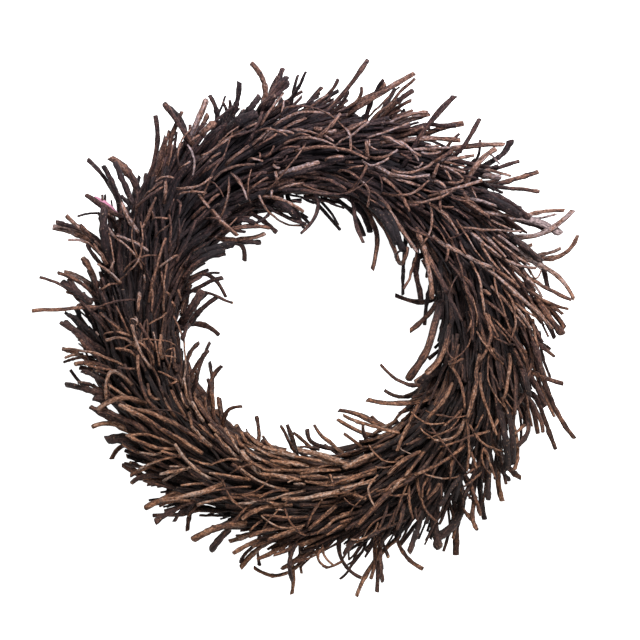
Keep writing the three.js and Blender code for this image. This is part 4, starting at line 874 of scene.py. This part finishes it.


# Where the bark is painted paler (+), as painted light, or darker (-), as painted shade, than the rest, set from
# looks at a blurred picture of how much brighter the photograph is than a render: pixel, half width in pixels and
# amount
pockets = [
    (300, 455, 30, 0.15), (250, 447, 22, 0.2), (205, 392, 22, 0.3), (360, 432, 28, 0.35), (424, 278, 12, 0.2),
    (192, 271, 15, 0.4), (147, 474, 18, 0.45), (305, 539, 40, 0.3), (400, 120, 26, 0.3), (535, 300, 20, 0.2),
    (413, 525, 24, -0.4), (443, 397, 18, -0.35), (507, 460, 22, -0.3), (474, 372, 20, -0.35), (510, 347, 16, -0.25),
    (153, 200, 16, -0.3), (160, 393, 20, -0.3), (307, 518, 22, -0.25), (383, 200, 18, -0.3), (90, 320, 26, -0.25),
    (215, 240, 26, -0.2), (455, 490, 26, -0.4), (240, 150, 20, -0.2), (446, 304, 18, -0.4), (330, 215, 20, -0.25),
    (540, 250, 14, 0.2), (130, 380, 16, -0.2), (243, 543, 18, 0.35), (205, 512, 16, 0.4), (113, 430, 14, 0.25),
    (192, 371, 16, 0.35), (213, 407, 14, 0.2), (393, 424, 14, 0.35), (340, 447, 14, 0.2), (533, 230, 18, 0.25),
    (80, 280, 14, 0.3), (83, 350, 14, 0.25), (340, 118, 20, 0.35), (440, 177, 14, 0.2), (453, 335, 15, -0.45),
    (413, 453, 14, -0.3), (387, 507, 14, -0.25), (396, 235, 14, -0.4), (227, 174, 14, -0.35), (190, 243, 16, -0.3),
    (127, 293, 16, -0.25), (247, 127, 14, -0.25), (310, 97, 16, -0.25), (520, 393, 16, -0.25), (493, 190, 16, -0.25),
    (90, 213, 8, -0.6), (197, 143, 14, 0.3), (230, 133, 12, 0.2), (285, 98, 18, 0.2), (473, 210, 12, 0.4),
    (427, 390, 14, 0.35), (161, 478, 12, 0.3), (293, 207, 14, 0.2), (427, 140, 20, 0.15), (87, 250, 10, -0.4),
    (213, 255, 10, -0.25), (443, 270, 12, -0.35), (503, 307, 12, -0.3), (180, 420, 16, -0.3), (467, 433, 14, -0.2),
    (433, 197, 12, -0.2), (220, 527, 12, -0.2), (373, 570, 12, -0.2), (547, 393, 12, -0.2), (485, 147, 10, -0.3),
]


def pocketShade(points):
    # the sum of bells amount exp(-(distance / half width)^2)
    shade = np.zeros(points.shape[:-1])
    for x, y, width, amount in pockets:
        apart = points[..., :2] - photoPoint(x, y, 0.0)[:2]
        shade += amount * np.exp(-(apart**2).sum(-1) / (width * photo["mmPerPixel"]) ** 2)
    return shade


twigLook = {
    "taper": 0.78, "knots": 4, "knotPlaces": (0.15, 0.95), "knotWidth": 0.045, "knotSize": 0.32, "knotMost": 1.32,
    "clubShare": 0.14, "clubPlace": 0.97, "clubWidth": 0.05, "clubSize": 0.35, "strengths": (0.4, 1),
}


def twigThickness(radius, stations, taper=twigLook["taper"]):
    # a straight taper, times knots that are bells exp(-((t - place) / width)^2), thickened by no more
    # than "knotMost", and a few clubbed tips
    count = radius.size
    t = np.linspace(0, 1, stations)[None]
    plain = radius[:, None] * mix(1.0, taper, t)
    thick = plain
    for _ in range(twigLook["knots"]):
        place = rng.uniform(*twigLook["knotPlaces"], (count, 1))
        bell = np.exp(-(((t - place) / twigLook["knotWidth"]) ** 2))
        thick = thick * (1 + twigLook["knotSize"] * rng.random((count, 1)) * bell)
    thick = np.minimum(thick, plain * twigLook["knotMost"])
    clubbed = (rng.random((count, 1)) < twigLook["clubShare"]) * rng.uniform(*twigLook["strengths"], (count, 1))
    bell = np.exp(-(((t - twigLook["clubPlace"]) / twigLook["clubWidth"]) ** 2))
    return thick * (1 + twigLook["clubSize"] * clubbed * bell)


# How a twig's ring departs from a circle, how its end is cut, and the marks that the bark's finish reads, among them
# the painted light and shade set by shadeTone, outerTone, inside, topPower and underside
skinLook = {
    "twist": 2.5, "ovals": (0.03, 0.2), "thirdRidge": 0.07, "uneven": 0.05, "slants": (0, 0.7), "cutRing": 0.72,
    "cutRise": 0.16, "middleRise": 0.2, "cutGrain": 0.7, "grainScatter": 400, "shadeTone": 0.6, "outerTone": 0.03,
    "outerFrom": 15, "outerOver": 40, "outerLimits": (-0.5, 1), "inside": (24, 48), "topPower": 1.5,
    "underside": 0.1, "paleCuts": 0.22,
}


def sweepGrain(path, thick, angle, total):
    # where the bark's patterns are read: thickness times cos a and sin a across, the run along the twig
    count, stations, _ = path.shape
    sides = angle.size
    steps = np.linalg.norm(np.diff(path, axis=1), axis=-1)
    run = np.concatenate((np.zeros((count, 1)), np.cumsum(steps, axis=1)), 1)
    grain = np.zeros((count, total, 3))
    body = grain[:, : stations * sides].reshape(count, stations, sides, 3)
    for axis, wave in enumerate((np.cos(angle), np.sin(angle))):
        body[..., axis] = wave * thick[..., None]
        grain[:, stations * sides : -2, axis] = wave * skinLook["cutGrain"] * thick[:, -1:]
    body[..., 2] = run[..., None]
    grain[:, stations * sides :, 2] = run[:, -1:]
    return grain + rng.uniform(0, skinLook["grainScatter"], (count, 1, 3))


def sweepMarks(points, tone, angle, stations):
    # the bark's tone with painted light and shade, how far it lies clear of painted shade deep in the ring and under
    # it, and how pale its cut is
    count, sides = len(points), angle.size
    marks = np.zeros(points.shape)
    shade = pocketShade(points)
    out = ringPlace(points)[1]
    # painted light: the tone a little paler towards the outer rim, plus the pockets' painted light (+) and painted
    # shade (-)
    outer = np.clip((out - skinLook["outerFrom"]) / skinLook["outerOver"], *skinLook["outerLimits"])
    marks[..., 0] = tone[:, None] + skinLook["shadeTone"] * shade + skinLook["outerTone"] * outer
    # painted shade deep in the ring: full within the first distance of 'inside' from the hoop's line, none beyond
    # the second
    inside, outside = skinLook["inside"]
    clear = np.hypot(out, points[..., 2] - wreath["middle"])
    clearOfDepthShade = np.clip((clear - inside) / (outside - inside), 0, 1)
    # painted shade on each twig's underside: the mark falls from 1 on top to 'underside' beneath, and the dark
    # pockets deepen it
    upward = (0.5 + 0.5 * np.sin(angle)) ** skinLook["topPower"]
    paintedTopLight = np.ones(clearOfDepthShade.shape)
    paintedTopLight[:, : (stations + 1) * sides] = np.tile(mix(skinLook["underside"], 1, upward), stations + 1)
    marks[..., 1] = clearOfDepthShade * paintedTopLight * (1 + np.minimum(shade, 0))
    pale = (rng.random((count, 1)) < skinLook["paleCuts"]) * rng.uniform(*twigLook["strengths"], (count, 1))
    marks[:, stations * sides : -2, 2] = pale
    marks[:, -1, 2] = pale[:, 0]
    return marks


def sweep(path, thick, tone, sides):
    # rings of points round each path: centre + thickness (cos a side + sin a above), where side is
    # tangent x up and above is side x tangent, with low ridges cos 2a and cos 3a that twist along it
    count, stations, _ = path.shape
    tangent = unit(np.gradient(path, axis=1))
    side = unit(np.cross(tangent, (0.0, 0.0, 1.0)))
    above = np.cross(side, tangent)
    angle = np.arange(sides) * 2 * np.pi / sides
    t = np.linspace(0, 1, stations)[None, :, None]
    phase = rng.uniform(0, 2 * np.pi, (2, count, 1, 1))
    twist = rng.normal(0, skinLook["twist"], (count, 1, 1)) * t
    oval = rng.uniform(*skinLook["ovals"], (count, 1, 1))
    third = skinLook["thirdRidge"] * np.cos(3 * angle + phase[1] + twist)
    ridge = 1 + oval * np.cos(2 * angle + phase[0] + twist) + third
    ridge = ridge * (1 + rng.normal(0, skinLook["uneven"], (count, stations, 1)))
    around = np.cos(angle)[:, None] * side[:, :, None] + np.sin(angle)[:, None] * above[:, :, None]
    rings = path[:, :, None] + around * (ridge * thick[..., None])[..., None]
    # a slanting cut: the last ring leans by cos(a - slant), then a smaller ring and a middle point
    slant = rng.uniform(0, 2 * np.pi, (count, 1))
    skew = rng.uniform(*skinLook["slants"], (count, 1)) * thick[:, -1:]
    reach = (skew * np.cos(angle[None] - slant))[..., None] * tangent[:, -1:]
    rings[:, -1] += reach
    ring = skinLook["cutRing"]
    inner = path[:, -1:] + around[:, -1] * (ring * thick[:, -1:, None]) + ring * reach
    inner = inner + tangent[:, -1:] * (skinLook["cutRise"] * thick[:, -1:, None])
    middles = np.stack((path[:, 0], path[:, -1] + tangent[:, -1] * skinLook["middleRise"] * thick[:, -1:]), 1)
    rings = np.concatenate((rings, inner[:, None]), 1)
    points = np.concatenate((rings.reshape(count, -1, 3), middles), 1)
    grain = sweepGrain(path, thick, angle, points.shape[1])
    marks = sweepMarks(points, tone, angle, stations)

    near = np.arange(stations)[:, None] * sides + np.arange(sides)
    beside = np.arange(stations)[:, None] * sides + (np.arange(sides) + 1) % sides
    quads = np.stack((near, near + sides, beside + sides, beside), -1).reshape(-1, 4)
    rootMiddle = (stations + 1) * sides
    rootCap = np.stack((np.full(sides, rootMiddle), near[0], beside[0]), -1)
    tipCap = np.stack((near[-1] + sides, np.full(sides, rootMiddle + 1), beside[-1] + sides), -1)
    base = (np.arange(count) * points.shape[1])[:, None, None]
    return {
        "points": points.reshape(-1, 3), "grain": grain.reshape(-1, 3), "marks": marks.reshape(-1, 3),
        "quads": (quads[None] + base).reshape(-1, 4),
        "triangles": (np.concatenate((rootCap, tipCap))[None] + base).reshape(-1, 3),
    }


def joined(skins):
    base = np.cumsum([0] + [len(skin["points"]) for skin in skins[:-1]])
    whole = {key: np.concatenate([skin[key] for skin in skins]) for key in ("points", "grain", "marks")}
    for key in ("quads", "triangles"):
        whole[key] = np.concatenate([skin[key] + start for skin, start in zip(skins, base)])
    return whole


def makePiece(name, skin, material, node):
    mesh = bpy.data.meshes.new(name)
    quads, triangles = skin["quads"], skin["triangles"]
    corners = np.concatenate((quads.ravel(), triangles.ravel())).astype(np.int32)
    lengths = np.concatenate((np.full(len(quads), 4), np.full(len(triangles), 3))).astype(np.int32)
    mesh.vertices.add(len(skin["points"]))
    mesh.vertices.foreach_set("co", (skin["points"] / 1000).astype(np.float32).ravel())
    mesh.loops.add(corners.size)
    mesh.loops.foreach_set("vertex_index", corners)
    mesh.polygons.add(lengths.size)
    mesh.polygons.foreach_set("loop_start", np.cumsum(lengths, dtype=np.int32) - lengths)
    mesh.polygons.foreach_set("loop_total", lengths)
    for key in ("grain", "marks"):
        layer = mesh.attributes.new("bark" + key.capitalize(), "FLOAT_VECTOR", "POINT")
        layer.data.foreach_set("vector", skin[key].astype(np.float32).ravel())
    mesh.update(calc_edges=True)
    mesh.validate()
    mesh.polygons.foreach_set("use_smooth", np.ones(len(mesh.polygons), bool))
    mesh.materials.append(material)
    piece = bpy.data.objects.new(name, mesh)
    bpy.context.scene.collection.objects.link(piece)
    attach(piece, "root")
    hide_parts(node)
    return piece


class Signal:
    # one socket of a material, so that sums and products of sockets read as they are written
    def __init__(self, finish, socket):
        self.finish = finish
        self.socket = socket

    def maths(self, operation, first, second):
        return self.finish.node("ShaderNodeMath", {"operation": operation}, {0: first, 1: second})

    def __add__(self, other):
        return self.maths("ADD", self, other)

    def __sub__(self, other):
        return self.maths("SUBTRACT", self, other)

    def __rsub__(self, other):
        return self.maths("SUBTRACT", other, self)

    def __mul__(self, other):
        return self.maths("MULTIPLY", self, other)


class Finish:
    def __init__(self, name):
        self.material = bpy.data.materials.new(name)
        self.material.use_nodes = True
        self.tree = self.material.node_tree
        self.shader = self.tree.nodes["Principled BSDF"]

    def node(self, kind, settings=None, sockets=None, out=0):
        made = self.tree.nodes.new(kind)
        for key, value in (settings or {}).items():
            if key == "stops":
                while len(made.color_ramp.elements) < len(value):
                    made.color_ramp.elements.new(0.5)
                for element, (place, colour) in zip(made.color_ramp.elements, value):
                    element.position = place
                    element.color = (*colour, 1)
            else:
                setattr(made, key, value)
        for key, value in (sockets or {}).items():
            self.feed(made.inputs[key], value)
        return Signal(self, made.outputs[out])

    def feed(self, socket, value):
        if isinstance(value, Signal):
            self.tree.links.new(value.socket, socket)
        else:
            socket.default_value = value

    def wear(self, **sockets):
        for key, value in sockets.items():
            self.feed(self.shader.inputs[key.replace("_", " ")], value)

    def colour(self, share, one, other, kind="MIX"):
        one, other = [(*c, 1) if isinstance(c, tuple) else c for c in (one, other)]
        return self.node("ShaderNodeMix", {"data_type": "RGBA", "blend_type": kind}, {0: share, 6: one, 7: other}, 2)

    def stretched(self, vector, factors):
        return self.node("ShaderNodeVectorMath", {"operation": "MULTIPLY"}, {0: vector, 1: factors})

    def axes(self, vector):
        split = self.node("ShaderNodeSeparateXYZ", {}, {0: vector}).socket.node
        return [Signal(self, socket) for socket in split.outputs]

    def noise(self, vector, scale, detail, roughness):
        sockets = {"Vector": vector, "Scale": scale, "Detail": detail, "Roughness": roughness}
        return self.node("ShaderNodeTexNoise", {}, sockets)

    def pattern(self, vector, stretch, detail, roughness):
        return self.noise(self.stretched(vector, stretch), 1.0, detail, roughness)

    def times(self, one, other):
        return self.colour(1.0, one, other, "MULTIPLY")

    def between(self, value, low, high):
        # 0 below low, 1 above high, smooth between
        sockets = {"Value": value, "From Min": low, "From Max": high, "To Min": 0.0, "To Max": 1.0}
        return self.node("ShaderNodeMapRange", {"interpolation_type": "SMOOTHSTEP"}, sockets)

    def spread(self, value, low, high):
        # what a noise mostly gives, 0.3 to 0.7, spread over low to high
        sockets = {"Value": value, "From Min": 0.3, "From Max": 0.7, "To Min": low, "To Max": high}
        return self.node("ShaderNodeMapRange", {}, sockets)

    def bump(self, height, strength, distance):
        sockets = {"Strength": strength, "Distance": distance, "Height": height}
        return self.node("ShaderNodeBump", {}, sockets)


bark = {
    "tones": (
        (0.0, (0.013, 0.008, 0.008)), (0.28, (0.036, 0.018, 0.016)), (0.55, (0.082, 0.040, 0.030)),
        (0.72, (0.175, 0.080, 0.045)), (0.87, (0.265, 0.143, 0.092)), (1.0, (0.280, 0.205, 0.178)),
    ),
    # deep is the colour of painted shade
    "pale": (0.32, 0.20, 0.13), "dust": (0.15, 0.105, 0.085), "deep": (0.0165, 0.0145, 0.015),
    # north and south tint the bark as painted cool light from the north and painted warm light from the south
    "rosy": (0.5, 0.2, 0.25), "north": (0.95, 1.0, 1.26), "south": (1.0, 0.96, 0.90),
    "rough": (0.5, 0.48, 0.48), "clean": (1.18, 1.18, 1.18),
    # patterns: how fine each is across, across and along the twig, in turns a millimetre, and the
    # detail and roughness of its noise
    "wrinkle": ((0.75, 0.75, 0.11), 3.0, 0.6), "patch": ((0.16, 0.16, 0.05), 2.0, 0.5),
    "crust": ((1.0, 1.0, 0.6), 3.0, 0.65), "grit": ((0.75, 0.75, 0.5), 1.0, 0.5), "speck": (0.5, 0.5, 0.3),
    # how far patches, wrinkles and crust move the tone
    "varies": (0.6, 0.8, 1.0),
    # where each pattern starts to show and shows in full
    "grooves": (0.5, 0.34), "patches": (0.54, 0.68), "crusts": (0.45, 0.6), "dots": (0.22, 0.1),
    "grits": (0.36, 0.62), "rosyTones": (1.5, 1.8), "northMetres": (-0.12, 0.2),
    "grooveShare": 0.7, "dustShare": 0.3, "dotShare": 0.5, "paintedShadeShare": 0.9, "crustRise": 0.8, "dotRise": 0.25,
    "roughness": (0.85, 0.55), "bump": 1.0, "bumpDepth": 0.0012, "shine": 0.12,
}


def barkFinish():
    finish = Finish("twigBark")
    grain = finish.node("ShaderNodeAttribute", {"attribute_name": "barkGrain"}, None, 1)
    marks = finish.node("ShaderNodeAttribute", {"attribute_name": "barkMarks"}, None, 1)
    # outside is 1 where the bark lies clear of painted shade and falls towards 0 deep in the ring, under the twig
    # and in the dark pockets
    tone, outside, cut = finish.axes(marks)
    wrinkle, patch, crust = (finish.pattern(grain, *bark[key]) for key in ("wrinkle", "patch", "crust"))
    cells = {"Vector": finish.stretched(grain, bark["speck"]), "Scale": 1.0}
    speck = finish.node("ShaderNodeTexVoronoi", {"feature": "F1"}, cells)
    byPatch, byWrinkle, byCrust = bark["varies"]
    varied = tone + (patch - 0.5) * byPatch + (wrinkle - 0.5) * byWrinkle + (crust - 0.5) * byCrust
    base = finish.node("ShaderNodeValToRGB", {"stops": bark["tones"]}, {0: varied})
    # painted shade in the grooves of the wrinkles, in the deep colour
    groove = finish.between(wrinkle, *bark["grooves"])
    base = finish.colour(groove * bark["grooveShare"], base, bark["deep"])
    flake = finish.between(patch, *bark["patches"]) * finish.between(crust, *bark["crusts"])
    base = finish.colour(flake * bark["dustShare"], base, bark["dust"])
    dots = finish.between(speck, *bark["dots"])
    base = finish.colour(dots * bark["dotShare"], base, bark["pale"])
    grit = finish.pattern(grain, *bark["grit"])
    base = finish.times(base, finish.colour(finish.between(grit, *bark["grits"]), bark["rough"], bark["clean"]))
    base = finish.colour(cut, base, bark["pale"])
    base = finish.colour(finish.between(tone, *bark["rosyTones"]), base, bark["rosy"])
    # painted shade: the deep colour deep in the ring, on each twig's underside and in the dark pockets
    base = finish.colour((1 - outside) * bark["paintedShadeShare"], base, bark["deep"])
    # painted light: a cool tint towards the north and a warm tint towards the south
    _, north, _ = finish.axes(finish.node("ShaderNodeTexCoord", {}, None, 3))
    northern = finish.between(north, *bark["northMetres"])
    base = finish.times(base, finish.colour(northern, bark["south"], bark["north"]))
    relief = wrinkle + crust * bark["crustRise"] + dots * bark["dotRise"]
    bump = finish.bump(relief, bark["bump"], bark["bumpDepth"])
    finish.wear(Base_Color=base, Roughness=finish.spread(wrinkle, *bark["roughness"]), Normal=bump)
    finish.shader.inputs["Specular IOR Level"].default_value = bark["shine"]
    return finish.material


wire = {
    "colour": (0.055, 0.035, 0.026), "rust": (0.16, 0.06, 0.03), "roughness": (0.35, 0.7), "metallic": 0.6,
    "patches": (260.0, 4.0, 0.6), "rusty": (0.5, 0.66), "bump": 0.3, "bumpDepth": 0.0003,
}


def wireFinish():
    finish = Finish("wirePaint")
    place = finish.node("ShaderNodeTexCoord", {}, None, 3)
    patch = finish.noise(place, *wire["patches"])
    paint = finish.colour(finish.between(patch, *wire["rusty"]), wire["colour"], wire["rust"])
    bump = finish.bump(patch, wire["bump"], wire["bumpDepth"])
    rough = finish.spread(patch, *wire["roughness"])
    finish.wear(Base_Color=paint, Roughness=rough, Metallic=wire["metallic"], Normal=bump)
    return finish.material


def ringSweep(path, thickness, sides):
    # a closed tube: every ring of points joins the next, and the last joins the first
    stations = len(path)
    tangent = unit(np.roll(path, -1, 0) - np.roll(path, 1, 0))
    middle = path.mean(axis=0)
    normal = unit(np.cross(path[stations // 3] - middle, path[0] - middle))
    side = unit(np.cross(tangent, normal))
    above = np.cross(side, tangent)
    angle = np.arange(sides) * 2 * np.pi / sides
    around = np.cos(angle)[:, None] * side[:, None] + np.sin(angle)[:, None] * above[:, None]
    points = (path[:, None] + around * thickness).reshape(-1, 3)
    i, j = np.divmod(np.arange(stations * sides), sides)
    ahead, over = (i + 1) % stations * sides, (j + 1) % sides
    quads = np.stack((i * sides + j, ahead + j, ahead + over, i * sides + over), -1)
    empty = np.zeros((0, 3), int)
    return {"points": points, "grain": points * 0, "marks": points * 0, "quads": quads, "triangles": empty}


# "thickness" is the wire's radius
hoop = {"stations": 240, "thickness": 2.0, "sides": 12}
tie = {
    "share": 1 / 3, "halfWidth": 24.2, "halfHeight": 19.75, "footAngle": 65, "stations": 64, "footStations": 10,
    "thickness": 0.8, "sides": 8,
}


def hoopPath():
    clock = np.linspace(0, 360, hoop["stations"], endpoint=False)
    return ringPoint(clock, 0.0, wreath["middle"])


def tiePath(bunch):
    # an oval round the waist of a bunch, closed by a straight run under its foot
    angle = np.radians(np.linspace(-tie["footAngle"], 180 + tie["footAngle"], tie["stations"]))
    clock = np.full(tie["stations"], (bunch + tie["share"]) * sector)
    height = wreath["middle"] + tie["halfHeight"] * np.sin(angle)
    oval = ringPoint(clock, tie["halfWidth"] * np.cos(angle), height)
    under = oval[-1] + (oval[0] - oval[-1]) * np.linspace(0, 1, tie["footStations"])[1:-1, None]
    return np.concatenate((oval, under))


barkMaterial, wireMaterial = barkFinish(), wireFinish()
print("finishes made")

strays = modelledTwigs(strayTries(), strayRule["offMost"])
fills = modelledTwigs(fillTries(), fillRule["offMost"])
# painted light and shade by clock: twigs of the solids paler and greyer towards clock 80 and darker opposite
for twigs in (strays, fills):
    clock = ringPlace(twigs["tip"])[0]
    twigs["tone"] = barkTones(clock.size) * mix(*strayLook["tones"], towards(clock, strayLook["paleClock"]))
strays["tone"] += strayLook["paler"]
strays["radius"] *= strayLook["thicker"]
print("twigs of the solids:", strays["bunch"].size, "and", fills["bunch"].size)

# an edge reading that follows a twig of the solids stands for it
edge = faceBundle(edgeTwigs, edgeLook["lift"], edgeLook["thicker"], strays)
followed, nearest = followedStrays(sightPoint(edge["tip"], -1), strays)
alone = ~np.isin(np.arange(strays["bunch"].size), nearest[followed])
print("twigs of the solids followed by readings:", int((~alone).sum()))

sources = {
    "strays": {key: values[alone] for key, values in strays.items()},
    "company": drawnIn(companyBundle(strays), drawing["companyStart"]),
    "fills": drawnIn(fills),
    "face": faceBundle(faceTwigs, 0, faceLook["slimmer"]),
    "tendrils": tendrilBundle(),
}
for kind in spray:
    sources[kind] = drawnIn(sprayBundle(kind))
print("twigs placed")


def laidPaths(twigs, kind):
    stations, _, sway = laying[kind]
    return swayPaths(bowPath(twigs["root"], twigs["control"], twigs["tip"], stations), sway, twigs["radius"])


# bunch, path, thickness and tone of every twig, with the sides of its rings
bundles = []
for kind, twigs in sources.items():
    stations, sides, _ = laying[kind]
    path = laidPaths(twigs, kind)
    bundles.append((twigs["bunch"], path, twigThickness(twigs["radius"], stations), twigs["tone"], sides))
bundles.append((*stemPaths(), stemPack["sides"]))
edgePath = aboveGround(leadIn(laidPaths(edge, "edge"), edge["anchor"]), edge["radius"])
edgeThick = twigThickness(edge["radius"], edgePath.shape[1], edgeLook["taper"])
bundles.append((edge["bunch"], edgePath, edgeThick, edge["tone"], laying["edge"][1]))
triangles = sum(len(bunch) * (path.shape[1] + 1) * sides * 2 for bunch, path, _, _, sides in bundles)
print("twigs laid:", sum(len(bundle[0]) for bundle in bundles), "with triangles:", triangles)

for number in range(wreath["bunches"]):
    skins = []
    for bunch, path, thick, tone, sides in bundles:
        own = bunch == number
        if own.any():
            skins.append(sweep(path[own], thick[own], tone[own], sides))
    label = f"{number + 1:02d}"
    makePiece("twigBunch" + label, joined(skins), barkMaterial, "twig_bunch_" + label)
    tieSkin = ringSweep(tiePath(number), tie["thickness"], tie["sides"])
    makePiece("wireTie" + label, tieSkin, wireMaterial, "wire_tie_" + label)
hoopSkin = ringSweep(hoopPath(), hoop["thickness"], hoop["sides"])
makePiece("wireHoop", hoopSkin, wireMaterial, "wire_hoop")
print("bunches, ties and hoop made")


def makeFloor():
    half = stage["floor"]
    mesh = bpy.data.meshes.new("floor")
    corners = [(-half, -half, 0), (half, -half, 0), (half, half, 0), (-half, half, 0)]
    mesh.from_pydata(corners, [], [(0, 1, 2, 3)])
    floor = bpy.data.objects.new("floor", mesh)
    bpy.context.scene.collection.objects.link(floor)
    finish = Finish("floorPaper")
    finish.wear(Base_Color=(*stage["floorColour"], 1), Roughness=stage["floorRoughness"])
    finish.wear(Emission_Color=(1, 1, 1, 1), Emission_Strength=stage["floorGlow"])
    mesh.materials.append(finish.material)


def makeCamera():
    # the photograph's scale on a plane half way up the wreath, from straight above
    data = bpy.data.cameras.new("photoCamera")
    data.lens, data.sensor_width = stage["lens"], stage["sensor"]
    width = photo["pixels"] * photo["mmPerPixel"]
    middle = photo["pixels"] / 2
    aim = photoPoint(middle, middle, stage["planeHeight"]) / 1000
    camera = bpy.data.objects.new("photoCamera", data)
    camera.location = (aim[0], aim[1], aim[2] + width / 1000 * stage["lens"] / stage["sensor"])
    data.clip_end = stage["farthest"]
    bpy.context.scene.collection.objects.link(camera)
    bpy.context.scene.camera = camera


lamps = {
    "key": {"place": (0.45, 1.4, 1.55), "size": 1.0, "watts": 108},
    "side": {"place": (0.9, -1.1, 1.3), "size": 0.9, "watts": 14},
}
skyStrength = 0.38


def makeLights():
    for name, lamp in lamps.items():
        data = bpy.data.lights.new(name, "AREA")
        data.size, data.energy = lamp["size"], lamp["watts"]
        light = bpy.data.objects.new(name, data)
        light.location = lamp["place"]
        aim = mathutils.Vector(stage["lampAim"]) - light.location
        light.rotation_euler = aim.to_track_quat("-Z", "Y").to_euler()
        bpy.context.scene.collection.objects.link(light)
    world = bpy.data.worlds.new("studioWhite")
    world.use_nodes = True
    world.node_tree.nodes["Background"].inputs["Color"].default_value = (1, 1, 1, 1)
    world.node_tree.nodes["Background"].inputs["Strength"].default_value = skyStrength
    bpy.context.scene.world = world


makeFloor()
makeCamera()
makeLights()
print("stage made")
